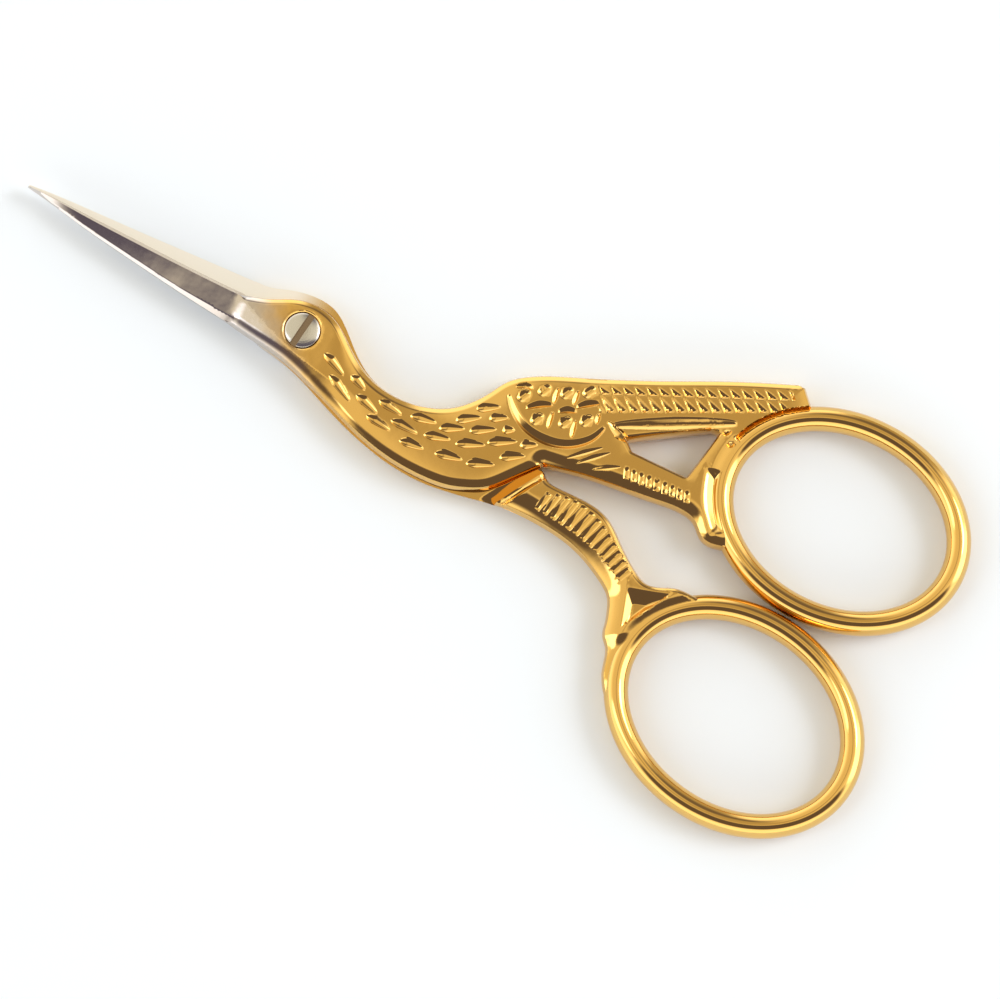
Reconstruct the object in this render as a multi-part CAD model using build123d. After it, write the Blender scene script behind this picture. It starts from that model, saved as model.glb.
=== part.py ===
from build123d import *
import math
import os

# Stork embroidery scissors: two forged halves and the slotted screw that they turn on.
# The front half carries the bird's body, wing, tail, upper leg and upper finger ring.
# The rear half carries the lower leg and lower finger ring. The halves cross at the head,
# neck and breast, where each is half as thick as the forging.
# Frame: the origin is on the pivot axis, in the plane that the closed scissors rest on.
# +X runs from the blade tips to the finger rings, +Y to the bird's back, +Z out of the front.
# All lengths are in millimetres.

# Forging
THICKNESS = 3.2           # both halves together at the head
INNER_GAP = 0.06          # between the ground inner faces
BEVEL = 0.62              # sloped border of the bird, as wide as it is deep
PARTING_GAP = 0.12        # between the halves where the breast ends in the body

# Bird: the outline tables below are shares of these two
BIRD_LENGTH = 40.0        # pivot axis to the finger rings
BIRD_DEPTH = 10.0         # blade line down to the heel of the lower leg

# Blades
BLADE_LENGTH = 27.9       # pivot axis to the tips
BLADE_WIDTH = 3.0         # at the root
BLADE_STEP = 0.03         # the ground blade lies this far inside the forged head

# Finger rings
RING_HOLE_LENGTH = 19.7   # upper ring
RING_HOLE_HEIGHT = 15.0
LOWER_RING_SHARE = 1.024  # the lower ring's hole is this much larger
RING_BAND = 2.2           # width of the oval rod in plan
RING_ROD_HEIGHT = 2.9
RING_GAP = 0.15           # between the rings when the scissors are closed
RING_VALLEY = 0.5         # the yoke plate stops this far outside the middle of the rod
LOWER_RING_TILT = -9.0    # degrees

# Pivot screw
SHANK_DIAMETER = 2.0
SHANK_CLEARANCE = 0.04    # running fit in the front half, on the radius
THREAD_BITE = 0.05        # thread engagement in the rear half, on the radius
SCREW_HEAD_DIAMETER = 3.2
SCREW_HEAD_SEAT = 0.9     # depth of the counterbore
HEAD_CLEARANCE = 0.06     # round the head, and under it
HEAD_DOME = 0.12          # crown of the head above the land
SLOT_WIDTH = 0.6
SLOT_DEPTH = 0.45
SLOT_ANGLE = 84.0         # degrees from the blade line

# Carving: chisel marks cut alike into both faces, as deep as this share of their width
MARK_DEPTH_SHARE = 0.36
DROP_LENGTH = 2.1         # a neck feather, blunt towards the head
DROP_WIDTH = 0.85
WING_LINE_WIDTH = 0.7     # the long line round the wing
WING_MARK_WIDTH = 0.45    # between the feathers of the wing
WING_EYE_LENGTH = 1.25    # the eye of each wing feather
WING_EYE_WIDTH = 0.9
TAIL_ROW_WIDTH = 0.3      # the two long lines of the tail
TAIL_MARK_WIDTH = 0.4     # between the feathers of the tail
FEATHER_PITCH = 1.05
RIB_WIDTH = 0.5           # rings of skin round the legs
RIB_PITCH = 0.8
THIGH_MARK_WIDTH = 0.55
YOKE_MARK_WIDTH = 1.0      # hollows of the yokes
TAIL_GROOVE_WIDTH = 0.7   # between the tail and the bar over the window
FACET_SLOPE = 10.0        # degrees, of the long facet that runs on from the blade

# Overrun of every cut past the metal
OVERRUN = 2.0

MID = THICKNESS / 2
INNER_FRONT = MID + INNER_GAP / 2
INNER_REAR = MID - INNER_GAP / 2
HALF_THICKNESS = THICKNESS - INNER_FRONT

# Outline tables: (share of BIRD_LENGTH, share of BIRD_DEPTH)
front_crown_shares = [(-0.15, 0.06), (-0.1, 0.13), (-0.05, 0.23), (0.0, 0.272), (0.05, 0.24),
                      (0.1, 0.115), (0.175, -0.07), (0.25, -0.125), (0.325, -0.075),
                      (0.375, 0.03), (0.405, 0.15), (0.4275, 0.28), (0.45, 0.44), (0.5, 0.61)]
back_shares = [(0.5, 0.61), (0.6, 0.805), (0.75, 1.09), (0.9, 1.4), (1.025, 1.63)]
tail_end_shares = [(1.025, 1.63), (1.045, 1.63), (1.078, 1.495), (1.095, 1.38)]
front_yoke_shares = [(1.09, 0.05), (1.05, 0.01), (1.02, -0.02), (0.995, -0.002),
                     (0.9625, 0.1), (0.94, 0.125), (0.87, 0.103), (0.77, 0.048),
                     (0.695, 0.003), (0.645, -0.042), (0.612, -0.07)]
throat_shares = [(0.612, -0.07), (0.5835, -0.22), (0.555, -0.37), (0.525, -0.5), (0.49, -0.58),
                 (0.45, -0.64), (0.4, -0.672), (0.35, -0.678), (0.3, -0.665), (0.2, -0.58),
                 (0.1, -0.445), (0.05, -0.38), (0.0, -0.322), (-0.05, -0.288),
                 (-0.1, -0.268), (-0.15, -0.243)]
window_shares = [(0.75, 0.475), (0.905, 0.895), (0.9225, 0.895), (0.904, 0.43), (0.7725, 0.41)]

rear_crown_shares = [(-0.15, 0.217), (-0.1125, 0.232), (-0.075, 0.285), (-0.0375, 0.327),
                     (0.0, 0.342), (0.0375, 0.32), (0.075, 0.232), (0.125, 0.065),
                     (0.175, -0.062), (0.25, -0.125), (0.325, -0.075), (0.375, 0.03),
                     (0.4, 0.125)]
parting_shares = [(0.4, 0.125), (0.5, 0.14), (0.6225, -0.12)]
lower_leg_top_shares = [(0.6225, -0.12), (0.64, -0.17), (0.66, -0.18), (0.755, -0.178),
                        (0.785, -0.205), (0.85, -0.38), (0.905, -0.528), (0.935, -0.574),
                        (0.9625, -0.552), (1.0, -0.487), (1.0375, -0.475), (1.075, -0.46)]
heel_shares = [(0.975, -1.66), (0.94, -1.46), (0.929, -1.32), (0.92, -1.24), (0.904, -1.17),
               (0.895, -1.06), (0.885, -0.94), (0.87, -0.83), (0.845, -0.755), (0.795, -0.655),
               (0.745, -0.59), (0.695, -0.56), (0.645, -0.55), (0.595, -0.555), (0.55, -0.575)]
rear_throat_shares = [(0.55, -0.575), (0.5, -0.62), (0.45, -0.66), (0.4, -0.69), (0.35, -0.695),
                      (0.3, -0.68), (0.25, -0.645), (0.2, -0.595), (0.1, -0.46), (0.0, -0.33),
                      (-0.05, -0.298), (-0.1, -0.24), (-0.125, -0.16), (-0.15, -0.06)]
leg_step_shares = [(0.6225, -0.12), (0.5525, -0.6)]

# Where the rings meet the bird: the left end of each ring, and the line between the rings
UPPER_RING_START_SHARE = 0.9475
LOWER_RING_START_SHARE = 0.9365
RING_LINE_SHARE = -0.25

# Neck feathers: middle, in shares of BIRD_LENGTH and BIRD_DEPTH, degrees, share of DROP_LENGTH
drop_shares = [(0.099, -0.145, -22, 1.1), (0.165, -0.19, -20, 0.75), (0.135, -0.31, -25, 1.25),
               (0.205, -0.325, -15, 1.05), (0.255, -0.255, -6, 1.0), (0.2475, -0.425, -6, 1.05),
               (0.3025, -0.35, 0, 1.1), (0.3325, -0.21, 12, 1.0), (0.335, -0.46, 8, 0.95),
               (0.3775, -0.295, 17, 1.0), (0.3975, -0.165, 27, 0.95), (0.42, -0.4, 14, 1.05),
               (0.42, -0.02, 35, 0.95), (0.45, -0.215, 25, 1.1), (0.46, -0.05, 32, 1.0),
               (0.4475, 0.15, 33, 0.9), (0.478, 0.11, 32, 0.7), (0.51, -0.065, 30, 1.1),
               (0.49, -0.33, 25, 1.05), (0.51, 0.055, 30, 0.5), (0.565, 0.02, 30, 0.7),
               (0.545, -0.14, 32, 0.95)]
DROP_BELLY_SHARE = 0.3    # of its length, from the blunt end to where a drop is widest

# Wing: its line, and the starts and ends of its marks and eyes, in shares as above
wing_line_shares = [(0.47, 0.345), (0.49, 0.255), (0.5375, 0.14), (0.58, 0.115), (0.62, 0.14),
                    (0.66, 0.23), (0.685, 0.35), (0.695, 0.48)]
wing_mark_shares = [((0.5625, 0.6), (0.57, 0.45)), ((0.605, 0.67), (0.61, 0.52)),
                    ((0.577, 0.39), (0.584, 0.23)), ((0.63, 0.42), (0.64, 0.25)),
                    ((0.67, 0.57), (0.675, 0.46)), ((0.52, 0.29), (0.57, 0.435)),
                    ((0.587, 0.4), (0.624, 0.485)), ((0.618, 0.515), (0.66, 0.645)),
                    ((0.4775, 0.427), (0.515, 0.49))]
wing_eye_shares = [(0.503, 0.39), (0.5375, 0.52), (0.584, 0.59), (0.627, 0.69), (0.5525, 0.26),
                   (0.611, 0.35), (0.651, 0.45)]
WING_EYE_ANGLE = 75.0     # degrees

# Tail feathers: the upper border, the line between the rows and the lower line
tail_line_shares = [((0.6425, 0.79), (0.985, 1.48)), ((0.655, 0.73), (0.985, 1.375)),
                    ((0.69, 0.62), (0.95, 1.11))]
FEATHER_SLANT = 46.0      # degrees between a feather's edge and the row

# Legs: feet and tops of the rings of skin, and the marks above them
rib_foot_shares = [(0.635, -0.45), (0.73, -0.48), (0.81, -0.55), (0.885, -0.69)]
rib_top_shares = [(0.645, -0.29), (0.703, -0.22), (0.77, -0.26), (0.83, -0.38), (0.9, -0.57)]
upper_rib_foot_shares = [(0.78, 0.155), (0.935, 0.22)]
upper_rib_top_shares = [(0.771, 0.235), (0.926, 0.3)]
thigh_mark_shares = [((0.65, 0.07), (0.7125, 0.31)), ((0.675, 0.07), (0.7325, 0.3)),
                     ((0.7125, 0.09), (0.7675, 0.23))]
upper_yoke_mark_shares = ((0.955, 0.6), (1.01, 0.17))
lower_yoke_mark_shares = [((0.93, -1.05), (0.998, -0.57)), ((0.9, -0.695), (0.955, -0.79))]
tail_groove_shares = ((0.705, 0.485), (0.955, 1.065))

# Long facet of the head and throat: its upper border, in shares as above
facet_shares = ((-0.15, -0.03), (0.1, -0.32))

# Blade stations from root to tip, and the section there
station_shares = [0.0, 0.25, 0.5, 0.75, 0.93, 1.0]        # of the length from root to tip
front_spine_shares = [-0.8, -0.643, -0.443, -0.21, 0.0, 0.067]   # of BLADE_WIDTH
front_edge_shares = [0.19, 0.157, 0.157, 0.153, 0.14, 0.11]
rear_spine_shares = [0.713, 0.583, 0.45, 0.333, 0.227, 0.167]
rear_edge_shares = [-0.18, -0.083, -0.033, 0.0, 0.06, 0.12]
blade_thickness_shares = [1.0, 0.88, 0.74, 0.58, 0.44, 0.34]     # of half the forging
spine_facet_shares = [0.2, 0.13, 0.14, 0.16, 0.2, 0.25]          # of the local width
edge_facet_shares = [0.13, 0.16, 0.22, 0.28, 0.33, 0.35]
spine_drop_shares = [0.55, 0.49, 0.49, 0.49, 0.49, 0.49]         # of the local thickness
edge_drop_shares = [0.55, 0.68, 0.75, 0.85, 0.88, 0.85]
FACET_FALL_SHARE = 0.3    # the main facet falls this much towards the spine

HEAD_END = front_crown_shares[0][0] * BIRD_LENGTH


def placed(shares):
    """Outline points from a table of shares."""
    return [(along * BIRD_LENGTH, across * BIRD_DEPTH) for along, across in shares]


def root_middle(crown_shares, throat_shares):
    """Middle of the straight line where the head takes over from the blade."""
    above = placed(crown_shares)[0][1]
    below = placed(throat_shares)[-1][1]
    return HEAD_END, (above + below) / 2


def slab(face, low, high):
    """A plate with the given plan, from one height to another."""
    return Pos(0, 0, low) * extrude(face, high - low)


def front_plan():
    """Plan of the front half: head, neck, body, tail, upper leg and yoke, with its window."""
    crown = Spline(*placed(front_crown_shares))
    back = Spline(*placed(back_shares), tangents=(crown % 1, (BIRD_LENGTH, 2 * BIRD_DEPTH)))
    tail_end = Polyline(*placed(tail_end_shares))
    yoke_end = Line(tail_end @ 1, placed(front_yoke_shares)[0])
    yoke = Spline(*placed(front_yoke_shares))
    throat = Spline(*placed(throat_shares))
    root = Line(throat @ 1, crown @ 0)
    plan = make_face([crown, back, tail_end, yoke_end, yoke, throat, root])
    window = make_face(Polyline(*placed(window_shares), close=True))
    window = fillet(window.vertices(), BEVEL / 4)
    return plan - window


def rear_plan():
    """Plan of the rear half: head, neck, breast, lower leg and yoke."""
    crown = Spline(*placed(rear_crown_shares))
    parting = Spline(*placed(parting_shares))
    leg_top = Spline(*placed(lower_leg_top_shares))
    yoke_end = Line(leg_top @ 1, placed(heel_shares)[0])
    heel = Spline(*placed(heel_shares))
    throat = Spline(*placed(rear_throat_shares))
    root = Line(throat @ 1, crown @ 0)
    return make_face([crown, parting, leg_top, yoke_end, heel, throat, root])


def left_of(line, reach):
    """Face of everything on the blade side of a line that runs from the back to the belly."""
    far = HEAD_END - OVERRUN
    rim = Polyline((line @ 1), ((line @ 1).X, -reach), (far, -reach), (far, reach),
                   ((line @ 0).X, reach), (line @ 0))
    return make_face([line, rim])


def bevelled(plan, *bare):
    """Forged blank: the plan at full thickness, its borders sloped but for the bare stretches."""
    blank = extrude(plan, THICKNESS)
    borders = []
    for edge in blank.faces().filter_by(Axis.Z).edges():
        middle = edge @ 0.5
        if all((middle - Vector(x, y, middle.Z)).length > BEVEL for x, y in bare):
            borders.append(edge)
    return chamfer(borders, BEVEL)


def ring(centre, hole_length, hole_height, tilt):
    """Finger ring: an oval rod swept round a path of four arcs."""
    along = (hole_length + RING_BAND) / 2
    across = (hole_height + RING_BAND) / 2
    diagonal = math.hypot(along, across)
    end_radius = (diagonal - along + across) * diagonal / (2 * along)
    shift = along - end_radius
    side_radius = (shift ** 2 + across ** 2 - end_radius ** 2) / (2 * (across - end_radius))
    drop = side_radius - across
    turn = math.degrees(math.atan2(drop, shift))
    path = Wire([CenterArc((shift, 0), end_radius, -turn, 2 * turn),
                 CenterArc((0, -drop), side_radius, turn, 180 - 2 * turn),
                 CenterArc((-shift, 0), end_radius, 180 - turn, 2 * turn),
                 CenterArc((0, drop), side_radius, 180 + turn, 180 - 2 * turn)])
    section = Plane(origin=path @ 0, x_dir=(0, 0, 1), z_dir=path % 0) * Ellipse(
        RING_ROD_HEIGHT / 2, RING_BAND / 2)
    return Pos(centre[0], centre[1], MID) * Rot(0, 0, tilt) * sweep(section, path=path)


def ring_seat(centre, hole_length, hole_height, tilt):
    """What the yoke plate leaves free for a ring."""
    along = hole_length / 2 + RING_BAND / 2 + RING_VALLEY
    across = hole_height / 2 + RING_BAND / 2 + RING_VALLEY
    oval = Pos(centre[0], centre[1]) * Rot(0, 0, tilt) * Ellipse(along, across)
    return slab(oval, -OVERRUN, THICKNESS + OVERRUN)


def upper_ring_place():
    """Centre, hole and tilt of the upper ring."""
    x = UPPER_RING_START_SHARE * BIRD_LENGTH + RING_HOLE_LENGTH / 2 + RING_BAND
    y = RING_LINE_SHARE * BIRD_DEPTH + RING_GAP / 2 + RING_HOLE_HEIGHT / 2 + RING_BAND
    return (x, y), RING_HOLE_LENGTH, RING_HOLE_HEIGHT, 0


def lower_ring_place():
    """Centre, hole and tilt of the lower ring."""
    hole_length = RING_HOLE_LENGTH * LOWER_RING_SHARE
    hole_height = RING_HOLE_HEIGHT * LOWER_RING_SHARE
    turn = math.radians(LOWER_RING_TILT)
    along = hole_length / 2 + RING_BAND
    across = hole_height / 2 + RING_BAND
    reach = math.hypot(along * math.cos(turn), across * math.sin(turn))
    rise = math.hypot(along * math.sin(turn), across * math.cos(turn))
    x = LOWER_RING_START_SHARE * BIRD_LENGTH + reach
    y = RING_LINE_SHARE * BIRD_DEPTH - RING_GAP / 2 - rise
    return (x, y), hole_length, hole_height, LOWER_RING_TILT


def mark(start, end, width, belly):
    """Tool for one chisel mark in the front face: pointed at both ends, widest at its belly."""
    start = Vector(*start, THICKNESS)
    end = Vector(*end, THICKNESS)
    depth = width * MARK_DEPTH_SHARE
    section = Polygon((-depth, 0), (0, width / 2), (depth, 0), (0, -width / 2))
    place = Plane(origin=start + (end - start) * belly, x_dir=(0, 0, 1), z_dir=end - start)
    return loft([Vertex(*start), place * section, Vertex(*end)], ruled=True)


def neck_marks():
    """The drop-shaped feathers of the neck and breast."""
    tools = []
    for along, across, angle, length_share in drop_shares:
        middle = Vector(along * BIRD_LENGTH, across * BIRD_DEPTH)
        reach = Vector(DROP_LENGTH * length_share / 2, 0).rotate(Axis.Z, angle)
        start = middle - reach
        end = middle + reach
        tools.append(mark((start.X, start.Y), (end.X, end.Y), DROP_WIDTH, DROP_BELLY_SHARE))
    return tools


def wing_marks():
    """The line round the wing, the marks between its feathers and the eye of each feather."""
    line = Pos(0, 0, THICKNESS) * Spline(*placed(wing_line_shares))
    depth = WING_LINE_WIDTH * MARK_DEPTH_SHARE
    half = WING_LINE_WIDTH / 2
    section = Plane(origin=line @ 0, x_dir=(0, 0, 1), z_dir=line % 0) * Polygon(
        (-depth, 0), (0, half), (depth, 0), (0, -half))
    tools = [sweep(section, path=line)]
    for start_shares, end_shares in wing_mark_shares:
        start, end = placed((start_shares, end_shares))
        tools.append(mark(start, end, WING_MARK_WIDTH, 0.5))
    reach = Vector(WING_EYE_LENGTH / 2, 0).rotate(Axis.Z, WING_EYE_ANGLE)
    for x, y in placed(wing_eye_shares):
        start = (x - reach.X, y - reach.Y)
        end = (x + reach.X, y + reach.Y)
        tools.append(mark(start, end, WING_EYE_WIDTH, 0.5))
    return tools


def tail_marks():
    """Two rows of tail feathers: the long lines, and the slanting edges between them."""
    lines = [Line(*placed(ends)) for ends in tail_line_shares]
    tools = []
    for line in lines[1:]:
        start = line @ 0
        end = line @ 1
        tools.append(mark((start.X, start.Y), (end.X, end.Y), TAIL_ROW_WIDTH, 0.5))
    for above, below in zip(lines, lines[1:]):
        start = above @ 0
        spread = start - below @ 0
        width = abs(spread.cross(below % 0).Z)
        slide = width / math.tan(math.radians(FEATHER_SLANT))
        offset = -spread.dot(below % 0)
        count = int((above.length - slide) / FEATHER_PITCH)
        for step in range(count):
            along = (step + 0.5) * FEATHER_PITCH
            top = start + (above % 0) * along
            foot = below @ 0 + (below % 0) * (along + slide - offset)
            tools.append(mark((top.X, top.Y), (foot.X, foot.Y), TAIL_MARK_WIDTH, 0.5))
    return tools


def rib_marks(foot_shares, top_shares):
    """Rings of skin across a leg, from its foot line to its top line."""
    foot_line = Spline(*placed(foot_shares))
    top_line = Spline(*placed(top_shares))
    count = int(foot_line.length / RIB_PITCH)
    tools = []
    for step in range(count + 1):
        foot = foot_line @ (step / count)
        top = top_line @ (step / count)
        tools.append(mark((foot.X, foot.Y), (top.X, top.Y), RIB_WIDTH, 0.5))
    return tools


def upper_leg_marks():
    """Thigh, rings of skin and yoke of the upper leg."""
    tools = rib_marks(upper_rib_foot_shares, upper_rib_top_shares)
    for ends in thigh_mark_shares:
        start, end = placed(ends)
        tools.append(mark(start, end, THIGH_MARK_WIDTH, 0.5))
    start, end = placed(upper_yoke_mark_shares)
    tools.append(mark(start, end, YOKE_MARK_WIDTH, 0.5))
    start, end = placed(tail_groove_shares)
    tools.append(mark(start, end, TAIL_GROOVE_WIDTH, 0.5))
    return tools


def lower_leg_marks():
    """Rings of skin and yoke of the lower leg."""
    tools = rib_marks(rib_foot_shares, rib_top_shares)
    for ends in lower_yoke_mark_shares:
        start, end = placed(ends)
        tools.append(mark(start, end, YOKE_MARK_WIDTH, 0.5))
    return tools


def long_facet():
    """Tool for the facet that slopes from the head and throat down to their lower border."""
    start, end = placed(facet_shares)
    line = Vector(*end) - Vector(*start)
    hinge = Plane(origin=(start[0], start[1], THICKNESS), x_dir=line, z_dir=(0, 0, 1))
    wedge = Box(BIRD_LENGTH, BIRD_DEPTH, OVERRUN, align=(Align.CENTER, Align.MAX, Align.MIN))
    return hinge * Rot(FACET_SLOPE, 0, 0) * wedge


def carved(body, tools):
    """The body with the same marks in its front and back faces."""
    back = [mirror(tool, Plane.XY.offset(MID)) for tool in tools]
    return body - (tools + back)


def blade(spine_shares, edge_shares, side):
    """Ground blade: six-sided sections lofted from the head to the tip, above or below MID."""
    root = HEAD_END
    length = BLADE_LENGTH + root
    sections = []
    for row, station in enumerate(station_shares):
        x = root - length * station
        spine = spine_shares[row] * BLADE_WIDTH
        edge = edge_shares[row] * BLADE_WIDTH
        width = edge - spine
        height = blade_thickness_shares[row] * (HALF_THICKNESS - BLADE_STEP)
        spine_in = spine + spine_facet_shares[row] * width
        edge_in = edge - edge_facet_shares[row] * width
        levels = [(spine, 0), (edge, 0), (edge, height * (1 - edge_drop_shares[row])),
                  (edge_in, height), (spine_in, height * (1 - FACET_FALL_SHARE)),
                  (spine, height * (1 - spine_drop_shares[row]))]
        points = [(x, y, MID + side * (INNER_GAP / 2 + rise)) for y, rise in levels]
        sections.append(Face(Wire.make_polygon(points, close=True)))
    return loft(sections)


def front_half():
    """Front half, with the counterbored pivot hole and the pocket for the rear half's breast."""
    oval = upper_ring_place()
    body = bevelled(front_plan(), root_middle(front_crown_shares, throat_shares))
    body -= long_facet()
    body = carved(body, neck_marks() + wing_marks() + tail_marks() + upper_leg_marks())
    parting = Pos(0, PARTING_GAP) * Spline(*placed(parting_shares))
    pocket = left_of(parting, 2 * BIRD_DEPTH)
    body -= slab(pocket, -OVERRUN, INNER_FRONT)
    body -= ring_seat(*oval)
    body += ring(*oval)
    body += blade(front_spine_shares, front_edge_shares, 1)
    body -= slab(Circle(SHANK_DIAMETER / 2 + SHANK_CLEARANCE), 0, THICKNESS)
    seat = THICKNESS - SCREW_HEAD_SEAT
    body -= slab(Circle(SCREW_HEAD_DIAMETER / 2 + HEAD_CLEARANCE), seat, THICKNESS + OVERRUN)
    return body


def rear_half():
    """Rear half, with the tapped pivot hole; above MID only its leg and ring remain."""
    oval = lower_ring_place()
    root = root_middle(rear_crown_shares, rear_throat_shares)
    parting = Spline(*placed(parting_shares)) @ 0.5
    body = bevelled(rear_plan(), root, (parting.X, parting.Y))
    body = carved(body, neck_marks() + lower_leg_marks())
    step = Line(*placed(leg_step_shares))
    body -= slab(left_of(step, 2 * BIRD_DEPTH), INNER_REAR, THICKNESS + OVERRUN)
    body -= ring_seat(*oval)
    body += ring(*oval)
    body += blade(rear_spine_shares, rear_edge_shares, -1)
    body -= slab(Circle(SHANK_DIAMETER / 2 - THREAD_BITE), -OVERRUN, THICKNESS)
    return body


def pivot_screw():
    """Slotted screw: domed head in the counterbore, shank down to the rear face."""
    under = THICKNESS - SCREW_HEAD_SEAT + HEAD_CLEARANCE
    shank = slab(Circle(SHANK_DIAMETER / 2), 0, under)
    radius = SCREW_HEAD_DIAMETER / 2
    rim = THICKNESS - HEAD_DOME
    top = THICKNESS + HEAD_DOME
    crown = ThreePointArc((radius, rim), (radius * math.sqrt(0.5), (rim + 3 * top) / 4), (0, top))
    half = make_face([Polyline((0, top), (0, under), (radius, under), (radius, rim)), crown])
    head = revolve(Plane.XZ * half, Axis.Z)
    slot = Rot(0, 0, SLOT_ANGLE) * Rectangle(2 * SCREW_HEAD_DIAMETER, SLOT_WIDTH)
    return shank + head - slab(slot, top - SLOT_DEPTH, top + OVERRUN)


nodes = {"front_half": front_half(), "rear_half": rear_half(), "pivot_screw": pivot_screw()}

os.makedirs("parts", exist_ok=True)
for name, solid in nodes.items():
    export_step(solid, f"parts/{name}.step")
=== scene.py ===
import math

import bpy
import numpy as np
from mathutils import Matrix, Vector
from mathutils.geometry import delaunay_2d_cdt


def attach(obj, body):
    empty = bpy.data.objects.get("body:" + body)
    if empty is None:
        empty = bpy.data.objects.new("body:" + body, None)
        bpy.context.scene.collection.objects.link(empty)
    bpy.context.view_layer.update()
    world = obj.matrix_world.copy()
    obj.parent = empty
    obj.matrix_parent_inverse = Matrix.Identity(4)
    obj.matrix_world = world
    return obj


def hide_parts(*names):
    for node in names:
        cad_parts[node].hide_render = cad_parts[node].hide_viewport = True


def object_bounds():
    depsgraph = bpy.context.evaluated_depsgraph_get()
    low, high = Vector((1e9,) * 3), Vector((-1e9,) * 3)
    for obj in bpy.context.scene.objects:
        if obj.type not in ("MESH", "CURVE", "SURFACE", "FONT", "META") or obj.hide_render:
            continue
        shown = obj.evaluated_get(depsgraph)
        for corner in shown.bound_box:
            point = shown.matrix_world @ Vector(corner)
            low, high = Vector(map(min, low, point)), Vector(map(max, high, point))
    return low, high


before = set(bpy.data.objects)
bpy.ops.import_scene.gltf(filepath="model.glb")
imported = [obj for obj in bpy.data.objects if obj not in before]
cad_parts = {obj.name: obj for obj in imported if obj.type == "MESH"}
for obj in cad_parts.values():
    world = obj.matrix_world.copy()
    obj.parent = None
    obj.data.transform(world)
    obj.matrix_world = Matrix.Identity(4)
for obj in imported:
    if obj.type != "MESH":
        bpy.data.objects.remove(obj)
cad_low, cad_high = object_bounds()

bl_info = {
    "name": "Stork embroidery scissors",
    "version": (1, 0, 0),
    "blender": (4, 5, 0),
    "location": "3D View > Sidebar > Scissors",
    "description": "Gilt stork scissors: carved halves, finger rings, pivot screw and studio",
    "category": "Object",
}

# The frame is in metres. Outlines and carving are worked out in millimetres, as on the bench.
MM = 0.001

# Forging, in millimetres, as the solids have it

THICKNESS = 3.2            # both halves together at the head
GILT_END = 2.0             # the inner faces are bare satin steel up to here
COVE_WIDTH = 1.2           # hollow of the rear half's inner face along the step of the leg
COVE_DEPTH = 0.4
INNER_GAP = 0.06           # between the ground inner faces
PARTING_GAP = 0.12         # between the halves where the breast ends in the body
BIRD_LENGTH = 40.0
BIRD_DEPTH = 10.0
BLADE_LENGTH = 27.9
BLADE_WIDTH = 3.0
RING_HOLE_LENGTH = 19.7
RING_HOLE_HEIGHT = 15.0
LOWER_RING_SHARE = 1.024
RING_BAND = 2.2
RING_ROD_HEIGHT = 2.9
RING_GAP = 0.15
RING_FACETS = 220          # round the hole
ROD_FACETS = 40            # round the rod
LOWER_RING_TILT = math.radians(-9)
SHANK_DIAMETER = 2.0
SHANK_END = 0.03           # above the rear face
SCREW_HEAD_DIAMETER = 3.2
SCREW_HEAD_SEAT = 0.9
HEAD_CLEARANCE = 0.06
HEAD_DOME = 0.12
SLOT_WIDTH = 0.6
SLOT_DEPTH = 0.45
SLOT_ANGLE = math.radians(84)

MID = THICKNESS / 2
HEAD_END = -6.0
COUNTERBORE = SCREW_HEAD_DIAMETER / 2 + HEAD_CLEARANCE
BORE = SHANK_DIAMETER / 2 + 0.03

# Outlines: (share of BIRD_LENGTH, share of BIRD_DEPTH)

front_crown_shares = [(-0.15, 0.06), (-0.1, 0.13), (-0.05, 0.23), (0.0, 0.272), (0.05, 0.24),
                      (0.1, 0.115), (0.175, -0.07), (0.25, -0.125), (0.325, -0.075),
                      (0.375, 0.03), (0.405, 0.15), (0.4275, 0.28), (0.45, 0.44), (0.5, 0.61),
                      (0.6, 0.805), (0.75, 1.09), (0.9, 1.4), (1.025, 1.63)]
tail_end_shares = [(1.045, 1.63), (1.078, 1.495), (1.095, 1.38)]
front_yoke_shares = [(1.09, 0.05), (1.05, 0.01), (1.02, -0.02), (0.995, -0.002),
                     (0.9625, 0.1), (0.94, 0.125), (0.87, 0.103), (0.77, 0.048),
                     (0.695, 0.003), (0.645, -0.042), (0.612, -0.07)]
front_throat_shares = [(0.612, -0.07), (0.5835, -0.22), (0.555, -0.37), (0.525, -0.5),
                       (0.49, -0.58), (0.45, -0.64), (0.4, -0.672), (0.35, -0.678),
                       (0.3, -0.665), (0.2, -0.58), (0.1, -0.445), (0.05, -0.38),
                       (0.0, -0.322), (-0.05, -0.288), (-0.1, -0.268), (-0.15, -0.243)]
window_shares = [(0.75, 0.475), (0.905, 0.895), (0.9225, 0.895), (0.904, 0.43), (0.7725, 0.41)]
rear_crown_shares = [(-0.15, 0.217), (-0.1125, 0.232), (-0.075, 0.285), (-0.0375, 0.327),
                     (0.0, 0.342), (0.0375, 0.32), (0.075, 0.232), (0.125, 0.065),
                     (0.175, -0.062), (0.25, -0.125), (0.325, -0.075), (0.375, 0.03),
                     (0.4, 0.125)]
parting_shares = [(0.4, 0.125), (0.5, 0.14), (0.6225, -0.12)]
lower_leg_top_shares = [(0.6225, -0.12), (0.64, -0.17), (0.66, -0.18), (0.755, -0.178),
                        (0.785, -0.205), (0.85, -0.38), (0.905, -0.528), (0.935, -0.574),
                        (0.9625, -0.552), (1.0, -0.487), (1.0375, -0.475), (1.075, -0.46)]
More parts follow.
